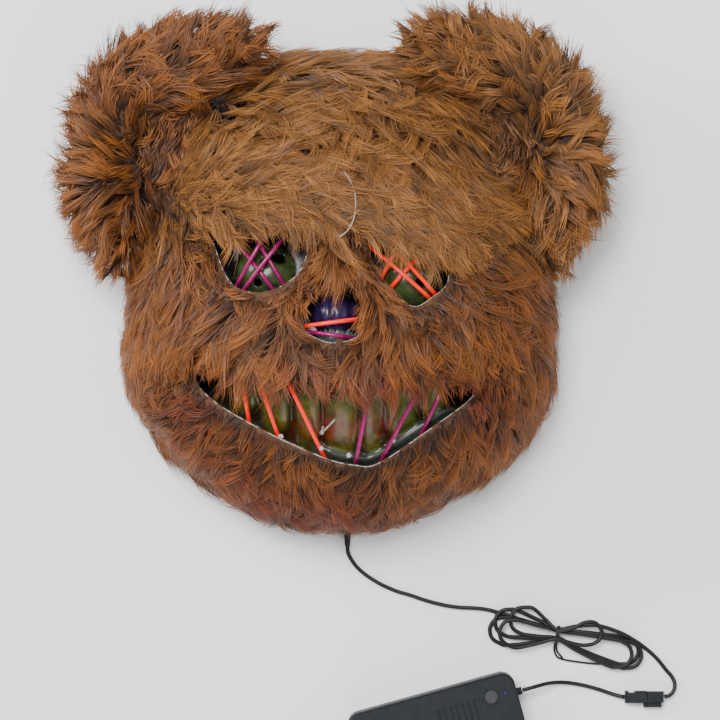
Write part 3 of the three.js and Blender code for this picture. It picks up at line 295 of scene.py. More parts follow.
def smooth_path(points, count):
    """A curve through the points, evenly spaced by length."""
    points = np.asarray(points, float)
    padded = np.concatenate([[2 * points[0] - points[1]], points, [2 * points[-1] - points[-2]]])
    share = np.linspace(0, 1, 12, endpoint=False)[:, None]
    spans = [catmull_rom(*padded[i:i + 4], share) for i in range(len(points) - 1)]
    fine = np.concatenate([*spans, points[-1:]])
    travelled = np.concatenate([[0], np.cumsum(np.linalg.norm(np.diff(fine, axis=0), axis=1))])
    even = np.linspace(0, travelled[-1], count)
    return np.stack([np.interp(even, travelled, fine[:, k]) for k in range(3)], 1)


def tube(path, radius, sides):
    """A tube along a path with closed ends; radius may be one number or one for each point."""
    path = np.asarray(path, float)
    radius = np.broadcast_to(radius, len(path))
    along = np.gradient(path, axis=0)
    along /= np.linalg.norm(along, axis=1)[:, None]
    normal = np.cross(along[0], [0.3, 0.2, 1.0])
    rings = []
    for middle, direction, size in zip(path, along, radius):
        normal = normal - direction * normal.dot(direction)
        normal /= np.linalg.norm(normal)
        other = np.cross(direction, normal)
        turn = circle_angles(sides)
        rings.append(middle + size * (np.cos(turn)[:, None] * normal + np.sin(turn)[:, None] * other))
    points = np.concatenate(rings + [path[:1], path[-1:]])
    side = np.arange(sides)
    following = (side + 1) % sides
    low = (np.arange(len(path) - 1) * sides)[:, None]
    quads = np.stack([low + side, low + following, low + sides + following, low + sides + side], -1)
    first, last = len(points) - 2, len(points) - 1
    end = (len(path) - 1) * sides
    caps = np.concatenate([np.stack([following, side, np.full(sides, first)], 1),
                           np.stack([end + side, end + following, np.full(sides, last)], 1)])
    return points, [quads.reshape(-1, 4), caps]


def grid_quads(rows, columns, wrap=False):
    """Quads between the rows of a grid of points, closed round each row with wrap."""
    count = columns if wrap else columns - 1
    row, column = np.meshgrid(np.arange(rows - 1), np.arange(count), indexing="ij")
    low, following = row * columns, (column + 1) % columns
    return np.stack([low + column, low + columns + column, low + columns + following, low + following],
                    -1).reshape(-1, 4)


def turned_over(quads):
    return quads[:, [0, 3, 2, 1]]


def halves(quads):
    """Each quad as two triangles."""
    return np.concatenate([quads[:, :3], quads[:, [0, 2, 3]]])


# Lead: routes as in the solids, in local millimetres

CORD_DIAMETER = 2.3
TIE_RADIUS = 0.6
LEAD_ROUTE = [
    (3.8, -137.3, 2.4), (4.1, -141, 1.7), (6.2, -145.3, 1.35), (9.6, -149.6, 1.35), (14, -153.4, 1.35),
    (18.9, -156.6, 1.35), (23.8, -159.3, 1.35), (31.3, -162.5, 1.35), (38.9, -164.7, 1.35),
    (46.4, -167.3, 1.35), (54, -169.4, 1.35), (60.5, -170.7, 1.35), (67, -171.5, 1.35),
    (75.6, -171.9, 1.35), (82, -172.8, 1.35), (88, -174.4, 1.35),
]
TAIL_ROUTE = [
    (168.4, -193.4, 1.35), (173.4, -197.6, 1.35), (177, -201.4, 1.35), (180.6, -206, 1.35),
    (183.7, -209.6, 1.6), (185.4, -213.4, 2.2), (184.9, -217.2, 2.8), (182.6, -220, 3), (179.6, -220.9, 3),
]
BATTERY_ROUTE = [
    (157.4, -220.9, 3), (154, -220.3, 2.4), (149.5, -219, 1.6), (143, -216.8, 1.35), (135.5, -214.8, 1.35),
    (128, -213.4, 1.6), (121, -212.9, 3.2), (114.5, -213.4, 6.2), (109.5, -214.5, 8.2), (105, -215.7, 8.9),
    (100.6, -216.9, 9),
]
HANK_CENTRE = np.array([125.8, -187.4, 0])
HANK_TURN = math.radians(-11.2)
HANK_TIE = -5.5
HANK_HALF_WIDTH = 11.6


def hank_place(points):
    points = np.asarray(points, float)
    cos, sin = math.cos(HANK_TURN), math.sin(HANK_TURN)
    x, y = points[:, 0], points[:, 1]
    return np.stack([x * cos - y * sin, x * sin + y * cos, points[:, 2]], 1) + HANK_CENTRE


# Tips of each turn's right and left loop, along and across the hank, and the turn's height
HANK_TURNS = [((40.5, -1.8), (-43.0, -3.8), 1.35), ((42.5, -3.6), (-41.0, 1.2), 2.9),
              ((37.0, -4.1), (-33.0, 4.0), 4.45)]
LAST_LOOP = (-37.5, -3.9)
TOP_Z = 5.9
LOOP_HALF = 7.4
TIE_HALF = 2.3
TOP_TIE_HALF = 2.2
# Round end of a loop: how far back from its tip, and the side in shares of LOOP_HALF
LOOP_END = [(-12, 1.0), (-7.4, 1.0), (-2.2, 0.71), (0, 0), (-2.2, -0.71), (-7.4, -1.0), (-12, -1.0)]
LOOP_START = 0.3
SMALL_LOOP = [(2, 5.0), (7.4, 9.2), (13, 10.6), (17.4, 7.6), (17.9, 2.4), (14.2, -1.5), (8, -3.2),
              (0.5, -3)]
LAST_RUN = [(HANK_TIE, 2.9, 4.2), (4, 6.6, 4.9), (15, 9.2, 5), (28, 7.8, 4.6), (37, 5.0, 2.9)]


def loop_points(tip, sign, z):
    """A loop from one side of the tie round its tip and back to the other side, sign +1 to the right."""
    x, y = tip
    middle = HANK_TIE + LOOP_START * (x - HANK_TIE)
    out, back = ((middle, 0.5 * side * TIE_HALF + 0.5 * (y + side * LOOP_HALF), z)
                 for side in (sign, -sign))
    return [out, *((x + sign * reach, y + sign * side * LOOP_HALF, z) for reach, side in LOOP_END), back]


def hank_route():
    """The lead's route through the hank, as turns that are pinched at the tie."""
    points = []
    for right, left, z in HANK_TURNS:
        points += [(HANK_TIE, TIE_HALF, z), *loop_points(right, 1, z)]
        points += [(HANK_TIE, -TIE_HALF, z), *loop_points(left, -1, z)]
    points += [(HANK_TIE, TOP_TIE_HALF, TOP_Z), *((x, y, TOP_Z) for x, y in SMALL_LOOP)]
    points += [(HANK_TIE, -TOP_TIE_HALF, TOP_Z), *loop_points(LAST_LOOP, -1, TOP_Z), *LAST_RUN]
    placed = np.array(points, float)
    placed[:, 1] = np.clip(placed[:, 1], -HANK_HALF_WIDTH, HANK_HALF_WIDTH)
    return hank_place(placed)


def cord_piece(name, route, count, with_pieces, nodes):
    path = smooth_path(route, count)
    made = piece(name, *tube(path, CORD_DIAMETER / 2, 10), RUBBER, "black_rubber", replaces=nodes)


def make_cords():
    whole = np.concatenate([LEAD_ROUTE, hank_route(), TAIL_ROUTE])
    cord_piece("cord_to_connector", whole, 900,
               [NODES["connector_plug"], make_tie(), make_sleeve()],
               ["cord_lead", "cord_hank", "cord_tail"])
    cord_piece("cord_to_battery", BATTERY_ROUTE, 60,
               [NODES["connector_socket"]], ["cord_battery"])


# The tie's long and short end, from the tie, with the number of steps of each
TIE_ENDS = [([(0, -4.2, 2), (-0.3, -8, 0.9), (2.5, -12.4, 0.8), (9, -13.1, 0.8), (24, -12, 0.8),
              (36, -9.5, 0.8)], 30),
            ([(0, -4.2, 3), (1.5, -9, 1.4), (5.5, -12.5, 1.6)], 12)]


def make_tie():
    """The wire tie, wound twice round the middle of the hank."""
    turns = np.linspace(0, 4 * np.pi, 60)
    wound = np.stack([HANK_TIE - 0.7 + 1.4 * turns / (4 * np.pi), 4.5 * np.sin(turns),
                      3.85 + 3.0 * np.cos(turns)], 1)
    ends = [smooth_path(np.array(end) + (HANK_TIE, 0, 0), count) for end, count in TIE_ENDS]
    points, faces = merged([tube(path, TIE_RADIUS, 8) for path in (wound, *ends)])
    return piece("wire_tie", hank_place(points), faces, RUBBER, "black_rubber", replaces=["hank_tie"])


def make_sleeve():
    """The rubber sleeve under the chin, which tapers to the lead."""
    start = np.array(LEAD_ROUTE[0], float)
    path = np.array([start + (0, 22, 0.1), start + (0, 12, 0), start + (0, 6, 0), start + (0, 2, 0), start])
    radius = np.interp(np.linspace(0, 1, 24), [0, 0.55, 1], [2.2, 2.2, 1.45])
    points, faces = tube(smooth_path(path, 24), radius, 14)
    return piece("lead_sleeve_taper", points, faces, RUBBER, "black_rubber", replaces=["lead_sleeve"])


make_cords()


# The face surface

def rim_share(x, y):
    """0 at the middle of the face and 1 at its rim."""
    rise = np.asarray(y) - WIDEST_Y
    reach = np.where(rise > 0, FOREHEAD_RISE, CHIN_DROP)
    roundness = np.where(rise > 0, FOREHEAD_ROUNDNESS, CHIN_ROUNDNESS)
    across, along = np.abs(x) / (FACE_WIDTH / 2), np.abs(rise) / reach
    return (across ** roundness + along ** roundness) ** (1 / roundness)


def crown_height(x, y):
    across = x / (MUZZLE_SIZE[0] / 2)
    along = (y - MUZZLE_Y) / (MUZZLE_SIZE[1] / 2)
    return FACE_DEPTH + MUZZLE_RISE * np.exp(-across ** 2 - along ** 2)


def face_height(x, y):
    return np.sqrt(np.maximum(0, 1 - rim_share(x, y) ** CROWN_FLATNESS)) * crown_height(x, y)


def unit(vectors):
    return vectors / (np.linalg.norm(vectors, axis=-1, keepdims=True) + 1e-12)


def face_normal(x, y):
    step = 0.5
    slope_x = (face_height(x + step, y) - face_height(x - step, y)) / (2 * step)
    slope_y = (face_height(x, y + step) - face_height(x, y - step)) / (2 * step)
    return unit(np.stack([-slope_x, -slope_y, np.ones_like(slope_x)], -1))


def dome_grid(sides, rings):
    """Rings round the face: points, normals, quads and the triangles round the middle."""
    fine = np.linspace(0, np.pi / 2, 400)
    plan = np.sin(fine) ** (2 / CROWN_FLATNESS) * 120
    length = np.concatenate([[0], np.cumsum(np.hypot(np.diff(plan), np.diff(np.cos(fine) * 95)))])
    polar = np.interp(np.linspace(0, length[-1], rings + 1)[1:], length, fine)[:, None]
    angle = circle_angles(sides)[None]

    def place(angle, polar):
        reach = 1 / rim_share(np.cos(angle), WIDEST_Y + np.sin(angle))
        radius = reach * np.abs(np.sin(polar)) ** (2 / CROWN_FLATNESS)
        x, y = radius * np.cos(angle), WIDEST_Y + radius * np.sin(angle)
        return np.stack([x, y, np.cos(polar) * crown_height(x, y)], -1)

    points = place(angle, polar)
    step = 0.01
    around = place(angle + step, polar) - place(angle - step, polar)
    outward = place(angle, polar + step) - place(angle, polar - step)
    normals = unit(np.cross(outward, around))
    points = np.concatenate([[[0, WIDEST_Y, crown_height(0, WIDEST_Y)]], points.reshape(-1, 3)])
    normals = np.concatenate([[[0, 0, 1.0]], normals.reshape(-1, 3)])
    first = np.arange(sides)
    centre = np.stack([np.zeros(sides, int), 1 + first, 1 + (first + 1) % sides], 1)
    return points, normals, 1 + grid_quads(rings, sides, wrap=True), centre


# Openings and brows as in the solids: middle, width and height, and outline in shares of them

OPENINGS = {
    "eye_left": ((-42.5, 19.5), (49.0, 41.0),
                 [(-0.49, 0.43), (-0.45, 0.01), (-0.29, -0.38), (-0.01, -0.5), (0.27, -0.4), (0.47, -0.16),
                  (0.49, 0.26), (0.05, 0.5)]),
    "eye_right": ((36.6, 11.7), (42.0, 41.0),
                  [(-0.5, 0.37), (-0.35, -0.14), (-0.09, -0.41), (0.08, -0.49), (0.27, -0.38),
                   (0.47, -0.19), (0.49, 0.06), (0.42, 0.37), (-0.04, 0.5)]),
    "nose": ((-3.3, -13), (32.0, 30.0),
             [(-0.5, -0.2), (-0.31, -0.4), (0.01, -0.5), (0.42, -0.37), (0.5, 0.03), (0.36, 0.43),
              (-0.18, 0.5), (-0.37, 0.27)]),
    "mouth": ((-3, -65.5), (146, 51),
              [(-0.5, 0.38), (-0.43, 0.15), (-0.25, -0.15), (-0.04, -0.42), (0.075, -0.5), (0.16, -0.48),
               (0.335, -0.15), (0.486, 0.17), (0.5, 0.32), (0.29, 0.42), (0.02, 0.4), (-0.25, 0.48),
               (-0.46, 0.5)]),
}
BROWS = {
    "left": ((-40, 52), (94, 52),
             [(-0.5, 0.22), (-0.44, -0.28), (-0.03, -0.46), (0.4, -0.46), (0.5, -0.08), (0.38, 0.3),
              (-0.03, 0.5), (-0.38, 0.44)]),
    "right": ((50, 42), (98, 62),
              [(-0.47, -0.18), (-0.35, -0.28), (0.06, -0.5), (0.28, -0.42), (0.5, 0.1), (0.26, 0.36),
               (-0.18, 0.5), (-0.46, 0.44)]),
}


def opening_spot(row, share):
    (x, y), (width, height), _ = row
    return np.array([x + share[0] * width, y + share[1] * height])


def outline_of(row, count=72):
    corners = np.array([opening_spot(row, share) for share in row[2]])
    turns = len(corners)
    place = np.linspace(0, turns, count, endpoint=False)
    i = place.astype(int)
    t = (place - i)[:, None]
    return catmull_rom(*(corners[(i + k) % turns] for k in (-1, 0, 1, 2)), t)


BLOCK = 20000


def signed_distance(outline, points):
    """Distance of plan points to a closed outline, positive inside."""
    a, b = outline, np.roll(outline, -1, 0)
    result = np.empty(len(points))
    for start in range(0, len(points), BLOCK):
        block = points[start:start + BLOCK, None, :]
        offset = block - a
        share = clamp((offset * (b - a)).sum(-1) / ((b - a) ** 2).sum(-1))
        gap = np.linalg.norm(offset - share[..., None] * (b - a), axis=-1).min(1)
        px, py = block[..., 0], block[..., 1]
        crosses = ((a[:, 1] > py) != (b[:, 1] > py)) & (
            px < (b[:, 0] - a[:, 0]) * (py - a[:, 1]) / (b[:, 1] - a[:, 1] + 1e-12) + a[:, 0])
        result[start:start + BLOCK] = np.where(crosses.sum(1) % 2 == 1, gap, -gap)
    return result


def deepest(outlines, points):
    """Signed distance to the outline that each point is deepest in."""
    return np.max([signed_distance(outline, points) for outline in outlines], 0)


OUTLINES = {name: outline_of(row) for name, row in OPENINGS.items()}
BROW_OUTLINES = {name: outline_of(row) for name, row in BROWS.items()}
# Middle of each eye's dome in its opening, and its pinholes: place in shares of its radius, and wide or not
EYES = {
    "eye_left": ((-0.005, -0.17),
                 [(-0.33, -0.24, False), (0.18, -0.45, False), (0.36, 0.5, True), (-0.09, 0.42, False)]),
    "eye_right": ((0.1, -0.03), [(0.39, -0.12, True), (0.27, 0.51, False)]),
}


def linear(red, green, blue):
    """A linear colour from the 0 to 255 values of a screen."""
    share = np.array([red, green, blue], float) / 255
    return np.where(share <= 0.04045, share / 12.92, ((share + 0.055) / 1.055) ** 2.4)


def on_face(spot, lift=0.0):
    x, y = spot[0], spot[1]
    return np.array([x, y, float(face_height(x, y))]) + lift * face_normal(np.array(x), np.array(y))


RIM_REACH = 4


def cut_out(points, quads, outlines):
    """Drops the faces whose middle lies inside a plan outline and draws the rim on to it."""
    keep = deepest(outlines, points[quads].mean(1)[:, :2]) < 0
    rim = np.intersect1d(quads[~keep], quads[keep])
    for outline in outlines:
        edge = np.roll(outline, -1, 0) - outline
        dense = np.concatenate([outline + edge * t for t in (0, 0.25, 0.5, 0.75)])
        gaps = np.linalg.norm(points[rim, None, :2] - dense, axis=-1)
        near = gaps.min(1) < RIM_REACH
        points[rim[near], :2] = dense[gaps[near].argmin(1)]
    return quads[keep]


def circle(centre, radius, count=20):
    turn = circle_angles(count)
    return np.stack([centre[0] + radius * np.cos(turn), centre[1] + radius * np.sin(turn)], 1)


# Middle, width and height of each tooth, in shares of the mouth
TEETH = [(-0.33, 0.18, 0.1, 0.36), (-0.215, 0.08, 0.115, 0.6), (-0.096, 0, 0.105, 0.8),
         (0.026, -0.02, 0.135, 0.9), (0.139, -0.02, 0.09, 0.85), (0.248, 0.06, 0.13, 0.68),
         (0.366, 0.16, 0.1, 0.42)]
TOOTH_DEPTH = 5.2
SOCKET_GROWTH = 2.8
NOSE_SPOT, NOSE_HALF, NOSE_DEPTH, NOSE_LIFT = (0.02, 0.1), (13, 11.2), 12, 2
BAR_SPOT, BAR_HALF, BAR_DEPTH = (0.04, -0.4), (11, 4.4), 5.4
BREATH_SPOT, BREATH_RADIUS = (-0.014, 0.24), 2.4
HOLE_RADIUS, WIDE_HOLE_RADIUS = 2.4, 3.2
LIP_RISE, LIP_WIDTH = 8.2, 5.2
# The hole and breath colours are painted shade: dark rings round the holes.
PAINTS = {
    "shell": linear(40, 46, 28), "wall": linear(16, 16, 14), "eye": linear(60, 72, 38),
    "eye_mottle": linear(38, 48, 24), "hole": linear(14, 15, 10), "nose": linear(46, 24, 74),
    "nose_dark": linear(20, 16, 32), "bar": linear(96, 106, 112), "mouth": linear(34, 36, 20),
    "tooth": linear(74, 84, 26), "tooth_edge": linear(26, 30, 12), "red": linear(104, 22, 12),
    "lip": linear(62, 68, 60), "breath": linear(14, 14, 10),
}


def oval(x, y, middle, half):
    """1 at the middle of an oval, 0 at its edge and less outside."""
    return 1 - ((x - middle[0]) / half[0]) ** 2 - ((y - middle[1]) / half[1]) ** 2


def dome(share):
    """Height of a unit dome at a share that oval() gives."""
    return np.sqrt(np.maximum(share, 0))


def make_shell():
    """The painted shell: sockets, eye domes with pinholes, nose, mouth with teeth and lower lip."""
    points, normals, quads, centre_faces = dome_grid(260, 92)
    x, y = points[:, 0], points[:, 1]
    plan = points[:, :2]
    lean = np.maximum(normals[:, 2], 0.25)
    tint = np.tile(PAINTS["shell"], (len(points), 1))
    rng = np.random.default_rng(SEED)

    def mix(mask, paint):
        share = clamp(mask)[:, None]
        tint[:] = tint * (1 - share) + PAINTS[paint] * share

    inside = {name: signed_distance(outline, plan) + SOCKET_GROWTH for name, outline in OUTLINES.items()}
    for name, depth in inside.items():
        wall = clamp(depth / 1.6)
        points[:, 2] -= SOCKET_DEPTH * (wall * wall * (3 - 2 * wall)) / lean
        mix(depth / 1.5, "wall")

    holes = []
    for name, (eye_spot, eye_holes) in EYES.items():
        middle = on_face(opening_spot(OPENINGS[name], eye_spot), -EYE_RADIUS)
        reach = EYE_RADIUS ** 2 - ((plan - middle[:2]) ** 2).sum(1)
        ball = middle[2] + dome(reach)
        on_ball = (reach > 0) & (inside[name] > 0.8) & (ball > points[:, 2])
        points[on_ball, 2] = ball[on_ball]
        mottle = 0.5 + 0.5 * np.sin(x * 0.9 + 3 * np.sin(y * 0.7)) * np.sin(y * 1.1 + 2 * np.sin(x * 0.5))
        mix(on_ball * 1.0, "eye")
        mix(on_ball * mottle * 0.55, "eye_mottle")
        for hole_x, hole_y, wide in eye_holes:
            place = middle[:2] + EYE_RADIUS * np.array([hole_x, hole_y])
            radius = WIDE_HOLE_RADIUS if wide else HOLE_RADIUS
            # Painted shade: a dark ring round the pinhole.
            mix(1.6 - np.linalg.norm(plan - place, axis=1) / radius, "hole")
            holes.append(circle(place, radius))

    nose = OPENINGS["nose"]
    in_nose = inside["nose"] > 0.6
    middle = on_face(opening_spot(nose, NOSE_SPOT), NOSE_LIFT - NOSE_DEPTH)
    share = oval(x, y, middle, NOSE_HALF)
    lump = middle[2] + NOSE_DEPTH * dome(share)
    cleft = 1.6 * np.exp(-((x - middle[0] + 1.5) / 1.3) ** 2)
    high = in_nose & (share > 0) & (lump > points[:, 2])
    points[high, 2] = (lump - cleft)[high]
    mix(high * 1.0, "nose")
    mix(high * clamp(0.5 + 0.5 * np.sin(x * 1.3 + 1.5)) * 0.7, "nose_dark")
    under = opening_spot(nose, BAR_SPOT)
    share = oval(x, y, under, BAR_HALF)
    bar = on_face(under, -SOCKET_DEPTH + 1)[2] + BAR_DEPTH * dome(share)
    low = in_nose & (share > 0) & (bar > points[:, 2])
    points[low, 2] = bar[low]
    mix(low * 1.0, "bar")

    mouth = OPENINGS["mouth"]
    (mouth_x, mouth_y), (mouth_width, mouth_height), _ = mouth
    in_mouth = inside["mouth"] > 0.8
    floor = points[:, 2].copy()
    mix(in_mouth * clamp((70 - np.abs(x)) / 14), "mouth")
    red = (np.exp(-((x + 6) / 22) ** 2 - ((y + 73) / 9) ** 2)
           + 0.8 * np.exp(-((x - 21) / 8) ** 2 - ((y + 70) / 9) ** 2))
    waves = np.sin(0.8 * x + 2 * np.sin(0.5 * y)) * np.sin(0.7 * y + 1.5 * np.sin(0.4 * x))
    blotch = clamp(0.5 + 0.9 * waves)
    for share_x, share_y, width, height in TEETH:
        spot = opening_spot(mouth, (share_x, share_y))
        across = np.abs(x - spot[0]) / (width * mouth_width / 2)
        along = np.abs(y - spot[1]) / (height * mouth_height / 2)
        share = 1 - across ** 2.4 - along ** 3
        tooth = in_mouth & (share > 0)
        points[tooth, 2] = np.maximum(points[:, 2], floor + TOOTH_DEPTH * dome(share))[tooth]
        mix(tooth * clamp(share * 2.2), "tooth")
        mix(tooth * clamp(across ** 3) * 0.8, "tooth_edge")
    mix(in_mouth * np.clip(red * (0.45 + 0.6 * blotch), 0, 0.85), "red")
    lip = signed_distance(OUTLINES["mouth"], plan)
    lip_share = 1 - ((lip - 1.2) / 4) ** 2
    ridge = in_mouth & (y < mouth_y + 4) & (x > mouth_x - 18) & (lip < LIP_WIDTH)
    fade = clamp((x - mouth_x + 18) / 16)
    lip_top = floor + (floor + LIP_RISE * dome(lip_share) - floor) * fade
    points[:, 2] = np.where(ridge & (lip_share > 0), np.maximum(points[:, 2], lip_top), points[:, 2])
    mix((ridge & (lip_share > 0.1)) * fade, "lip")
    breath = opening_spot(mouth, BREATH_SPOT)
    # Painted shade: a dark ring round the breathing hole.
    mix(1.9 - np.linalg.norm(plan - breath, axis=1) / 2.5, "breath")
    holes.append(circle(breath, BREATH_RADIUS))

    tint *= rng.uniform(0.9, 1.1, (len(points), 1))
    quads = cut_out(points, quads, holes)
    made = piece("painted_shell", points, [quads, centre_faces], PAINT, "painted_shell", tint,
                 replaces=["face_shell"])
    thicken(made, SHELL_WALL / 1000, -1)


def make_backing():
    """The woven back of the fur, cut out round the openings; its dark colour is painted shade under the
    pile.
    """
    points, normals, quads, centre_faces = dome_grid(180, 56)
    away = clamp(-deepest(OUTLINES.values(), points[:, :2]) / 18)
    lift = 1.2 + (5 - 3.4 * clamp((-points[:, 1] - 60) / 30)) * away
    quads = cut_out(points, quads, list(OUTLINES.values()))
    points = points + normals * lift[:, None]
    points[:, 2] = np.maximum(points[:, 2], 1.0)
    made = piece("fur_backing", points, [quads, centre_faces], SHADED_BACKING, "brown_fur", replaces=["fur_cover"])
    thicken(made, 0.0008, 1)


# How far up each opening its cut edge shows, in shares of its height
SHOWN_EDGES = {"eye_left": 0.18, "eye_right": 0.1, "nose": -0.1, "mouth": 0.3}
EDGE_POINTS = 200
EDGE_LIFT = 1.9
BROW_EDGE_LIFT = 16.7


def make_cut_edge():
    """The pale cut edge of the backing in the openings, and the left brow's on its inner side."""
    strips = []
    for name, high in SHOWN_EDGES.items():
        row = OPENINGS[name]
        outline = outline_of(row, EDGE_POINTS)
        chosen = (outline[:, 1] - row[0][1]) / row[1][1] < high
        start = int(np.argmax(~chosen & np.roll(chosen, -1)))
        spots = outline[np.roll(np.arange(EDGE_POINTS), -start - 1)[:int(chosen.sum())]]
        path = np.concatenate([spots, face_height(*spots.T)[:, None]], 1)
        path += face_normal(*spots.T) * EDGE_LIFT
        number = np.arange(len(path))
        strips.append(tube(path, 0.26 + 0.07 * np.sin(number * 1.7) * np.sin(number * 0.37), 6))
    brow = outline_of(BROWS["left"], EDGE_POINTS)
    along = brow[(brow[:, 0] > -2) & (brow[:, 1] < 64)]
    along = along[np.argsort(along[:, 1])]
    path = np.stack([along[:, 0] + 1.5, along[:, 1], face_height(*along.T) + BROW_EDGE_LIFT], 1)
    strips.append(tube(smooth_path(path, 60), 0.3, 6))
    points, faces = merged(strips)
    piece("backing_cut_edge", points, faces, CUT_EDGE, "tan_fur")


# Fur: locks of mesh strands

HEAD_STRANDS = 87000
BROW_STRANDS = 11500
EAR_STRANDS = 13500
PLATE_STRANDS = 1500


def scatter(points, triangles, count, rng):
    """Spots spread evenly over triangles, as their corners and the weights of these."""
    corners = points[triangles]
    area = np.linalg.norm(np.cross(corners[:, 1] - corners[:, 0], corners[:, 2] - corners[:, 0]), axis=1)
    chosen = rng.choice(len(triangles), count, p=area / area.sum())
    first, second = rng.random((2, count))
    flip = first + second > 1
    first[flip], second[flip] = 1 - first[flip], 1 - second[flip]
    return triangles[chosen], np.stack([1 - first - second, first, second], 1)


def blended(values, corners, weights):
    return (values[corners] * weights[..., None]).sum(1)


def wander(points, scale, seed):
    """A smooth random number for each point, about -1 to 1."""
    rng = np.random.default_rng(seed)
    total = np.zeros(len(points))
    for _ in range(5):
        wave = rng.normal(size=3)
        total += np.sin(points @ wave / scale + rng.uniform(0, 6.28))
    return total / 2.4


# Places on the face with the direction in which the pile lies there
COMBING = np.array([
    (-40, 126, -.3, 1), (-5, 132, .1, 1), (27, 129, -.1, 1), (-59, 105, .6, -.8), (-32, 94, .7, -.7),
    (-5, 99, .5, -.9), (22, 99, .2, -1), (49, 99, 0, -1), (60, 85, -.1, -1), (-80, 50, 1, -.15),
    (-40, 55, 1, -.2), (5, 45, 1, -.35), (-30, 32, .7, -.7), (8, 60, .5, -.8), (50, 45, .9, -.4),
    (90, 40, 1, -.25), (60, 20, .8, -.6), (0, 10, 0, -1), (-45, -10, -.3, -1), (-100, 30, -.4, -1),
    (-100, -20, -.6, -.9), (-110, -50, -.9, -.5), (-95, -70, -.7, -.7), (100, -10, .4, -1),
    (115, -50, .6, -.9), (105, -75, .4, -1), (0, -30, 0, -1), (-50, -35, -.4, -1), (50, -35, .4, -1),
    (-80, -60, -.5, -.9), (78, -60, .4, -1), (0, -110, 0, -1), (-50, -105, -.35, -1), (50, -105, .3, -1),
    (-80, -95, -.6, -.8), (80, -90, .5, -.9)])


def combed(x, y, near=14.0):
    gaps = (x[:, None] - COMBING[:, 0]) ** 2 + (y[:, None] - COMBING[:, 1]) ** 2
    weights = 1 / (gaps + near ** 2) ** 2
    return unit((weights[:, :, None] * unit(COMBING[:, 2:])).sum(1))


STEPS = 4
CLUMP_SIZE = 17.0
GATHER = 0.55
JITTER = 1.25
STRAY_SHARE, STRAY_REACH = 0.07, 2.6
LOWEST_STRAND = 0.6
TAPER = np.array([0.8, 1.0, 0.9, 0.6])
UP = np.array([0, 0, 1.0])


def strands(roots, normals, flows, length, height, tints, rng, width=0.24, spread=0.22, seed=0, limit=None):
    """Ribbons that rise from their roots, lie over along their flow and gather into pointed locks."""
    count = len(roots)
    guides = rng.permutation(count)[:max(40, int(count / CLUMP_SIZE))]
    tree = KDTree(len(guides))
    for i, g in enumerate(guides):
        tree.insert(Vector(roots[g]), i)
    tree.balance()
    owner = np.array([tree.find(Vector(root))[1] for root in roots])
    guide_turn = rng.normal(0, spread, len(guides))
    guide_curl = rng.normal(0, 0.42, len(guides))
    guide_size = rng.uniform(0.72, 1.16, len(guides))
    guide_rise = rng.uniform(0.55, 1.25, len(guides))
    guide_tone = rng.normal(0, 0.3, len(guides))
    bend = 0.42 * wander(roots[guides], 20, seed + 5)

    g = guides[owner]
    across = np.cross(normals[g], flows[g])
    turn = (guide_turn[owner] + bend[owner])[:, None]
    lines = []
    for step in range(STEPS + 1):
        s = step / STEPS
        angle = turn + guide_curl[owner][:, None] * s ** 1.5
        direction = flows[g] * np.cos(angle) + across * np.sin(angle)
        along = length[g] * guide_size[owner] * (0.18 * s + 0.82 * s ** 1.35)
        rise = height[g] * guide_rise[owner] * (1 - (1 - s) ** 2.1)
        drop = height[g] * 0.35 * s ** 2.5
        lines.append(roots[g] + direction * along[:, None] + normals[g] * rise[:, None]
                     - UP * drop[:, None])
    share = np.linspace(0, 1, STEPS + 1)
    lines = np.stack(lines, 1) + (roots - roots[g])[:, None] * (1 - GATHER * share ** 1.1)[None, :, None]
    lines = lines[:, :1] + (lines - lines[:, :1]) * rng.uniform(0.7, 1.1, count)[:, None, None]
    lines += (rng.normal(0, 1, (count, 3)) * JITTER)[:, None] * (share ** 1.3)[None, :, None]
    stray = rng.random(count) < STRAY_SHARE
    stray_tips = rng.normal(0, STRAY_REACH, (int(stray.sum()), 3))
    lines[stray] += stray_tips[:, None] * (share ** 1.5)[None, :, None]
    if limit is not None:
        lines = limit(lines, rng)
    lines[:, :, 2] = np.maximum(lines[:, :, 2], LOWEST_STRAND)

    facing = unit(normals * 0.7 + np.array([0, 0, 0.6]) + rng.normal(0, 0.35, (count, 3)))
    side = unit(np.cross(unit(np.gradient(lines, axis=1)), facing[:, None]))
    half = width * rng.uniform(0.55, 1.3, count)
    reach = side[:, :STEPS] * (half[:, None] * TAPER)[..., None]
    per = 2 * STEPS + 1
    points = np.empty((count, per, 3))
    points[:, 0:2 * STEPS:2] = lines[:, :STEPS] - reach
    points[:, 1:2 * STEPS:2] = lines[:, :STEPS] + reach
    points[:, -1] = lines[:, -1]
    base = (np.arange(count) * per)[:, None]
    quads = np.concatenate([base + np.array([k, k + 1, k + 3, k + 2]) for k in range(0, 2 * STEPS - 2, 2)])
    tips = base + np.array([2 * STEPS - 2, 2 * STEPS - 1, 2 * STEPS])
    dark, light = tints
    tone = np.clip(1 + guide_tone[owner] + rng.normal(0, 0.12, count), 0.45, 1.7)
    # The colour darkens from tip to root: painted shade down in the pile.
    blend = (np.concatenate([np.repeat(share[:STEPS], 2), [1.0]]) ** 1.1)[None, :, None]
    colour = (dark[:, None] * (1 - blend) + light[:, None] * blend) * tone[:, None, None]
    return points.reshape(-1, 3), [quads, tips], clamp(colour).reshape(-1, 3)


def fur_piece(name, slot, *values, **options):
    points, faces, tint = strands(*values, **options)
    piece(name, points, faces, FUR, slot, tint)


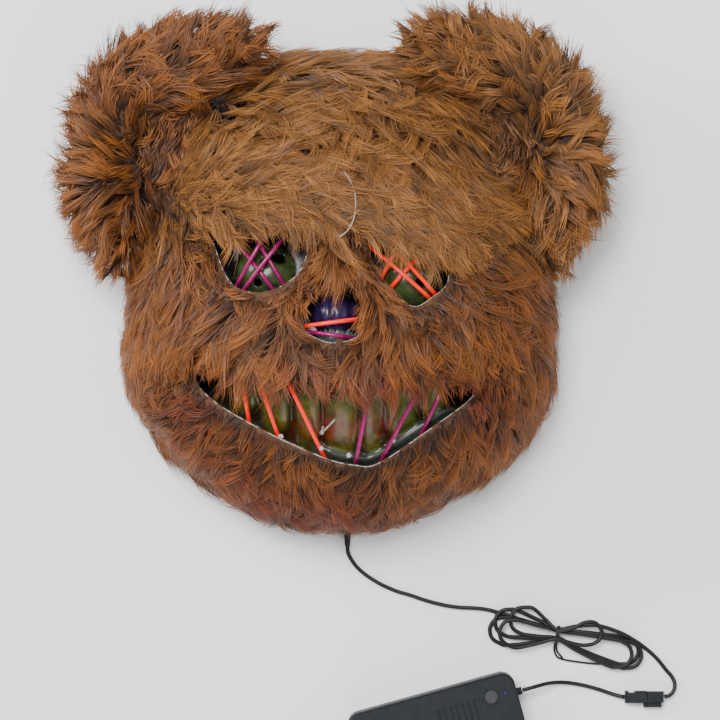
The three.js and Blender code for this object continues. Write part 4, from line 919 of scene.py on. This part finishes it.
# Root and tip colours: the near-black root colours are painted shade down in the pile
ORANGE = (linear(16, 5, 1), linear(140, 80, 23))
TAN = (linear(26, 11, 2), linear(148, 96, 40))
RED_BROWN = (linear(36, 7, 3), linear(112, 22, 10))
STAINS = [(-50, -96, 16, 18), (-28, -44, 24, 9), (22, -42, 30, 9), (-5, -104, 34, 9), (-72, -58, 12, 10),
          (68, -52, 14, 12), (-30, -60, 16, 8)]
STAIN_SHARE = 0.65


def region_tints(x, y, tan):
    """Root and tip colours of strands: tan or orange, with the red-brown stains; the dark roots are painted
    shade.
    """
    tan = clamp(tan)[:, None]
    stain = np.zeros(len(x))
    for middle_x, middle_y, half_x, half_y in STAINS:
        stain += np.exp(-((x - middle_x) / half_x) ** 2 - ((y - middle_y) / half_y) ** 2)
    stain = (clamp(stain) * STAIN_SHARE)[:, None]
    return [(orange * (1 - tan) + light_tan * tan) * (1 - stain) + red * stain
            for orange, light_tan, red in zip(ORANGE, TAN, RED_BROWN)]


def tangent(flow, normals):
    return unit(flow - normals * (flow * normals).sum(1)[:, None])


EARS = {"left": (-96.0, 78.5, 1), "right": (90.0, 80.0, -1)}
EAR_HALF = (58, 75)


def under_ears(x, y):
    return np.any([np.hypot((x - ear_x) / EAR_HALF[0], (y - ear_y) / EAR_HALF[1]) < 0.5
                   for ear_x, ear_y, _ in EARS.values()], 0)


def round_the_rim(lines, rng):
    """Draws strands that would stand off the rim back round it."""
    offset = lines[..., :2] - (0, WIDEST_Y)
    radius = np.linalg.norm(offset, axis=-1)
    toward = offset / (radius[..., None] + 1e-9)
    rim = 1 / rim_share(toward[..., 0], WIDEST_Y + toward[..., 1])
    chin = clamp(-toward[:, 0, 1] * 2 - 0.6)[:, None]
    shag = 5.5 * wander(lines[:, 0], 7, 90)[:, None] + rng.uniform(-3, 4, (len(lines), 1))
    allowed = rim + 11.5 - 5 * chin + shag
    kept = np.where(radius > allowed, allowed + 0.35 * (radius - allowed), radius)
    lines[..., :2] = toward * kept[..., None] + (0, WIDEST_Y)
    return lines


def head_sizes(roots, ups, flow, near):
    """Length and height of the head's strands, shorter round the openings (near under 1)."""
    x, y = roots[:, 0], roots[:, 1]
    across = np.abs(x + 3)
    above_mouth = (across < 66) & (y > -62) & (y < -28)
    above_nose = (across < 20) & (y > 0) & (y < 14)
    mouth_corner = (across > 54) & (across < 92) & (y > -60) & (y < -22)
    length = 13 + 17 * near
    length[above_mouth] = 25
    length[above_nose] = 11
    length[mouth_corner] *= 0.5
    height = np.where(above_mouth | above_nose, 6.0, 4.5 + 4.5 * near)
    height[ups[:, 2] < 0.35] = 7.5
    ahead = roots[:, :2] + flow * (length * 0.75)[:, None]
    length[deepest([OUTLINES["eye_left"], OUTLINES["eye_right"]], ahead) > -1] *= 0.4
    return length, height


def head_fur():
    rng = np.random.default_rng(SEED + 1)
    points, normals, quads, centre_faces = dome_grid(120, 60)
    spots = scatter(points, np.concatenate([halves(quads), centre_faces]), HEAD_STRANDS, rng)
    roots, ups = blended(points, *spots), unit(blended(normals, *spots))
    gap = deepest(OUTLINES.values(), roots[:, :2])
    keep = ~under_ears(roots[:, 0], roots[:, 1]) & (gap < -0.4)
    keep &= deepest(BROW_OUTLINES.values(), roots[:, :2]) < 6
    roots, ups, gap = roots[keep], ups[keep], gap[keep]
    x, y = roots[:, 0], roots[:, 1]
    flow = combed(x, y)
    near = clamp(-gap / 13)
    length, height = head_sizes(roots, ups, flow, near)
    down = np.where(ups[:, 2] < 0.5, 0.35, 0.0)
    flow = tangent(np.concatenate([flow, -down[:, None]], 1), ups)
    dark, light = region_tints(x, y, (y - 18) / 30 + 0.3 * wander(roots, 30, 3))
    crown = 2.5 * clamp((y - 70) / 20) * clamp((128 - y) / 14)
    lift = 1.6 + (4.4 - 3.2 * clamp((-y - 60) / 30)) * near + crown
    roots = roots + ups * lift[:, None]
    regions = {"forehead": y > 14, "cheek_left": (y <= 14) & (x < -30), "cheek_right": (y <= 14) & (x > 30),
               "muzzle_chin": (y <= 14) & (np.abs(x) <= 30)}
    for number, (name, mask) in enumerate(regions.items()):
        own = [values[mask] for values in (roots, ups, flow, length, height)]
        fur_piece(f"fur_{name}", "brown_fur", *own, (dark[mask], light[mask]),
                  np.random.default_rng(SEED + 20 + number), seed=number, limit=round_the_rim)


BROW_ROWS, BROW_COLUMNS = 40, 60


def brow_fur():
    for number, (side, outline) in enumerate(BROW_OUTLINES.items()):
        rng = np.random.default_rng(SEED + 40 + number)
        low, high = outline.min(0) - 1, outline.max(0) + 1
        grid = np.meshgrid(np.linspace(low[0], high[0], BROW_COLUMNS),
                           np.linspace(low[1], high[1], BROW_ROWS))
        plan = np.stack([axis.ravel() for axis in grid], 1)
        inside = signed_distance(outline, plan)
        quads = turned_over(grid_quads(BROW_ROWS, BROW_COLUMNS))
        quads = quads[(inside[quads] > 0).all(1)]
        rise = 4.5 + 5.5 * clamp(inside / 9) ** 0.6
        up = face_normal(*plan.T)
        points = np.concatenate([plan, face_height(*plan.T)[:, None]], 1) + up * rise[:, None]
        used, index = np.unique(quads, return_inverse=True)
        # The brow backing takes the dark backing colour: painted shade under the brow's pile.
        base = piece(f"brow_{side}_backing", points[used], [index.reshape(-1, 4)], SHADED_BACKING, "tan_fur",
                     replaces=[f"brow_{side}"])
        thicken(base, 0.001, -1)
        spots = scatter(points, halves(quads), BROW_STRANDS, rng)
        roots, ups = blended(points, *spots), unit(blended(up, *spots))
        x, y = roots[:, 0], roots[:, 1]
        depth = clamp(signed_distance(outline, roots[:, :2]) / 10)
        flow = combed(x, y, 10)
        flow = tangent(np.concatenate([flow, np.zeros((len(flow), 1))], 1), ups)
        length = 17 + 12 * depth
        leaving = (signed_distance(outline, roots[:, :2] + flow[:, :2] * length[:, None]) < -2) & (y < 40)
        length[leaving] *= 0.36
        fur_piece(f"brow_{side}_fur", "tan_fur", roots, ups, flow, length, 3.6 + 2.6 * depth,
                  region_tints(x, y, np.full(len(x), 0.95)), rng, width=0.22, spread=0.16, seed=30 + number)


# The ear's roll from its inner tip to its lower end: place in shares of EAR_HALF, and its width
EAR_ROLL = np.array([
    (.97, .77, .17), (.76, .73, .62), (.4, .66, .88), (-.03, .57, 1), (-.41, .37, .9), (-.53, .05, .83),
    (-.52, -.21, 1), (-.48, -.51, .79), (-.45, -.73, .53), (-.47, -.89, .22)])
EAR_ROLL_HALF = (29, 21)
EAR_Z = (40, 62)
ROLL_ROWS, ROLL_SIDES, PLATE_SIDES = 40, 22, 30
ROLL_SCALE = 60
# Rings of the plate behind the roll's pocket: size and height
PLATE_RINGS = [(0.02, 5.5), (0.4, 5), (0.75, 3.5), (0.95, 0), (0.75, -4), (0.02, -5)]
TOP_BANDS = 3
PLATE_FLOW = (-0.3, -0.9, 0.0)


def ear_height(x):
    return EAR_Z[0] + (EAR_Z[1] - EAR_Z[0]) * (x / EAR_HALF[0] + 1) / 2


def ear_roll():
    """The left ear's roll: points, their outward directions, quads, and the flow and place of the pile."""
    rows = smooth_path(EAR_ROLL * (*EAR_HALF, ROLL_SCALE), ROLL_ROWS)
    spine = np.stack([rows[:, 0], rows[:, 1], ear_height(rows[:, 0]) - 1], 1)
    width = rows[:, 2] / ROLL_SCALE
    along = unit(np.gradient(spine[:, :2], axis=0))
    outward = np.stack([along[:, 1], -along[:, 0], np.zeros(ROLL_ROWS)], 1)
    turn = circle_angles(ROLL_SIDES)
    half_x = np.maximum(EAR_ROLL_HALF[0] * width - 10.5, 2.2)[:, None]
    half_z = np.maximum(EAR_ROLL_HALF[1] * width - 8, 2.2)[:, None]
    points = (spine[:, None] + outward[:, None] * (half_x * np.cos(turn))[..., None]
              + UP * (half_z * np.sin(turn))[..., None])
    ups = unit(outward[:, None] * (np.cos(turn) / half_x)[..., None]
               + UP * (np.sin(turn) / half_z)[..., None])
    place = np.repeat(np.linspace(0, 1, ROLL_ROWS), ROLL_SIDES)
    # The pile lies to the inner tip over the top, outwards at the side and down at the lower end
    drift = np.interp(place, [0, 0.35, 0.6, 0.75, 1], [-1.3, -1.0, -0.35, 0.7, 1.2])
    lean_out = np.interp(place, [0, 0.3, 0.6, 1], [0.3, 0.5, 0.8, 0.35])
    forward = np.repeat(np.concatenate([along, np.zeros((ROLL_ROWS, 1))], 1), ROLL_SIDES, 0)
    flows = forward * drift[:, None] + np.repeat(outward, ROLL_SIDES, 0) * lean_out[:, None]
    quads = turned_over(grid_quads(ROLL_ROWS, ROLL_SIDES, wrap=True))
    return points.reshape(-1, 3), ups.reshape(-1, 3), quads, flows, place


def ear_plate():
    turn = circle_angles(PLATE_SIDES)
    rings = []
    for share, height in PLATE_RINGS:
        x = EAR_HALF[0] * (-0.08 + 0.55 * share * np.cos(turn))
        y = EAR_HALF[1] * (0.08 + 0.62 * share * np.sin(turn))
        rings.append(np.stack([x, y, ear_height(x) - 10 + height], 1))
    return np.concatenate(rings), grid_quads(len(PLATE_RINGS), PLATE_SIDES, wrap=True)


def ear_fur():
    points, ups, quads, flows, place = ear_roll()
    plate, plate_quads = ear_plate()
    for number, (side, (centre_x, centre_y, mirror)) in enumerate(EARS.items()):
        rng = np.random.default_rng(SEED + 60 + number)
        placing, shift = np.array([mirror, 1.0, 1.0]), np.array([centre_x, centre_y, 0])
        slot, tan_share = ("brown_fur", 0.0) if side == "left" else ("tan_fur", 0.75)
        base_points, base_faces = merged([(points, [quads]), (plate, [plate_quads])])
        if mirror < 0:
            base_faces = [group[:, ::-1] for group in base_faces]
        # The ear's pad takes the dark backing colour: painted shade under the ear's pile.
        base = piece(f"ear_{side}_pad", base_points * placing + shift, base_faces, SHADED_BACKING, slot,
                     replaces=[f"ear_{side}"])
        spots = scatter(points, halves(quads), EAR_STRANDS, rng)
        plate_spots = scatter(plate, halves(plate_quads[:TOP_BANDS * PLATE_SIDES]), PLATE_STRANDS, rng)
        roots = np.concatenate([blended(points, *spots), blended(plate, *plate_spots)]) * placing + shift
        up = np.concatenate([unit(blended(ups, *spots)), np.tile(UP, (PLATE_STRANDS, 1))]) * placing
        flow = np.concatenate([unit(blended(flows, *spots)), np.tile(PLATE_FLOW, (PLATE_STRANDS, 1))])
        flow = tangent(flow * placing, up)
        along_roll = (place[spots[0]] * spots[1]).sum(1)
        reach = np.interp(along_roll, [0, 0.12, 0.25, 0.62, 0.85, 1], [11, 17, 22, 23, 18, 12])
        length = np.concatenate([reach, np.full(PLATE_STRANDS, 13.0)])
        height = np.repeat([7.5, 6.0], [EAR_STRANDS, PLATE_STRANDS])
        tints = region_tints(roots[:, 0], roots[:, 1], tan_share + 0.25 * wander(roots, 26, 8))
        fur_piece(f"ear_{side}_fur", slot, roots, up, flow, length, height, tints, rng,
                  width=0.27, spread=0.3, seed=50 + number)


# Light wires and small pieces

WIRE_RADIUS = 1.15
PIN_START, PIN_END = (-0.046, -0.21), (0.002, -0.06)
GLUE_DOTS = [(-54.54, -56.7), (-31.32, -76.68), (-9.72, -83.16), (4.86, -86.94), (28.62, -78.84)]


def node_points(name):
    source = NODES[name]
    array = np.empty(len(source.data.vertices) * 3)
    source.data.vertices.foreach_get("co", array)
    matrix = np.array(source.matrix_world)
    return (array.reshape(-1, 3) @ matrix[:3, :3].T + matrix[:3, 3]) * 1000 - SHIFT


def centreline(name, stations):
    """The middles of a tube's rings, from its own points."""
    points = node_points(name)
    middle = points[:, :2].mean(0)
    _, _, axes = np.linalg.svd(points[:, :2] - middle, full_matrices=False)
    along = (points[:, :2] - middle) @ axes[0]
    low, high = along.min(), along.max()
    number = np.clip(np.rint((along - low) / (high - low) * (stations - 1)), 0, stations - 1).astype(int)
    return np.array([points[number == i].mean(0) for i in range(stations) if (number == i).any()])


def bead(middle, half_height, radius):
    share = np.linspace(-1, 1, 7)
    return tube(middle + UP * (half_height * share)[:, None], radius * np.sqrt(1.02 - share ** 2), 10)


def make_wires():
    for name in NODES:
        if "stitch" in name:
            red = "right" in name or "red" in name
            finish = (GLOWING_RED, "red_wire") if red else (MAGENTA, "magenta_wire")
            points, faces = tube(smooth_path(centreline(name, 6), 30), WIRE_RADIUS, 12)
            piece(name + "_wire", points, faces, *finish, replaces=[name])


def make_trim():
    """The clear pin between the teeth, and the dots of glue along the lower lip."""
    mouth = OPENINGS["mouth"]
    start, end = opening_spot(mouth, PIN_START), opening_spot(mouth, PIN_END)
    path = smooth_path([on_face(start, -7.5), on_face(start, -2.2), on_face(end, -0.6)], 16)
    pin = tube(path, np.interp(np.linspace(0, 1, 16), [0, 0.1, 1], [0.9, 0.5, 0.55]), 8)
    points, faces = merged([pin, bead(on_face(start, -2.2), 1.2, 1.25)])
    piece("tag_pin_clear", points, faces, CLEAR, "clear_plastic", replaces=["tag_pin"])
    points, faces = merged([bead(on_face(spot, 0.3), 0.9, 1.4) for spot in GLUE_DOTS])
    piece("glue_dots", points, faces, CLEAR, "clear_plastic")


STRAP_ROWS, STRAP_COLUMNS = 60, 17
STRAP_HALF_WIDTH = 9.9


def make_strap():
    """The ribbed elastic across the open back."""
    rows, columns = STRAP_ROWS, STRAP_COLUMNS
    source = node_points("elastic_strap")[:, 0]
    x = np.linspace(-1, 1, rows) * (source.max() - source.min()) / 2 * 0.995
    z = 1.6 + 18 * (x / 106) ** 4
    z -= z.min() - 1.2
    across = np.linspace(-1, 1, columns) * STRAP_HALF_WIDTH
    top = np.stack([np.repeat(x, columns), np.tile(WIDEST_Y + across, rows),
                    np.repeat(z, columns) + 0.35 + np.tile(0.22 * np.cos(across * 2.6), rows)], 1)
    up = grid_quads(rows, columns)
    total = rows * columns
    along, wide = np.arange(rows) * columns, np.arange(columns)
    edges = [np.stack([line[:-1], line[1:], line[1:] + total, line[:-1] + total], 1)
             for line in (along, along + columns - 1, wide, wide + total - columns)]
    piece("ribbed_elastic", np.concatenate([top, top - UP]), [up, up[:, ::-1] + total, *edges], ELASTIC,
          "elastic", replaces=["elastic_strap"])


# Material, slot and width of the rounded edges of the solids that are kept
FINISHES = {
    "battery_base": (PLASTIC, "black_plastic", 0.0009),
    "battery_case": (PLASTIC, "black_plastic", 0.0003),
    "power_button": (BUTTON, "button_plastic", 0.0003),
    "status_lamp": (LAMP, "lamp_plastic", 0.0002),
    "connector_plug": (PLASTIC, "black_plastic", 0.0004),
    "connector_socket": (PLASTIC, "black_plastic", 0.0004),
}


def dress_hard_nodes():
    for name, (material, slot, size) in FINISHES.items():
        node = NODES[name]
        node.data.materials.clear()
        node.data.materials.append(material)
        bevel = node.modifiers.new("edges", "BEVEL")
        bevel.width = size
        bevel.segments = 3
        bevel.limit_method = "ANGLE"
        bevel.angle_limit = math.radians(28)


make_shell()
make_backing()
make_cut_edge()
head_fur()
brow_fur()
ear_fur()
make_wires()
make_trim()
make_strap()
dress_hard_nodes()


# Studio

# Place, size in metres and power in watts
LIGHTS = {"top": ((-0.35, 0.6, 1.9), 0.9, 52), "left": ((-1.6, 0.9, 0.9), 0.8, 30),
          "right": ((1.6, -0.3, 1.1), 1.2, 8), "front": ((0.1, -1.7, 0.9), 1.2, 11)}
LIGHT_AIM = Vector((0, 0, 0.04))
WORLD_STRENGTH = 0.5


def make_stage():
    nodes = Nodes("floor")
    grey = nodes.ramp(nodes.noise(3, 2), [(0.3, (0.93, 0.93, 0.93)), (0.7, (0.96, 0.96, 0.96))])
    nodes.feed("Base Color", grey)
    nodes.set(Roughness=0.85)
    mesh = bpy.data.meshes.new("floor")
    mesh.from_pydata([(-4, -4, 0), (4, -4, 0), (4, 4, 0), (-4, 4, 0)], [], [(0, 1, 2, 3)])
    mesh.materials.append(nodes.material)
    floor = add_object("floor", mesh)
    for name, (place, size, power) in LIGHTS.items():
        data = bpy.data.lights.new(name, "AREA")
        data.size = size
        data.energy = power
        light = add_object(name, data)
        light.location = place
        point_at(light, LIGHT_AIM - Vector(place))
    world = bpy.data.worlds.new("studio")
    bpy.context.scene.world = world
    world.use_nodes = True
    background = world.node_tree.nodes["Background"]
    background.inputs[0].default_value = (1, 1, 1, 1)
    background.inputs[1].default_value = WORLD_STRENGTH


make_stage()
bpy.context.view_layer.update()
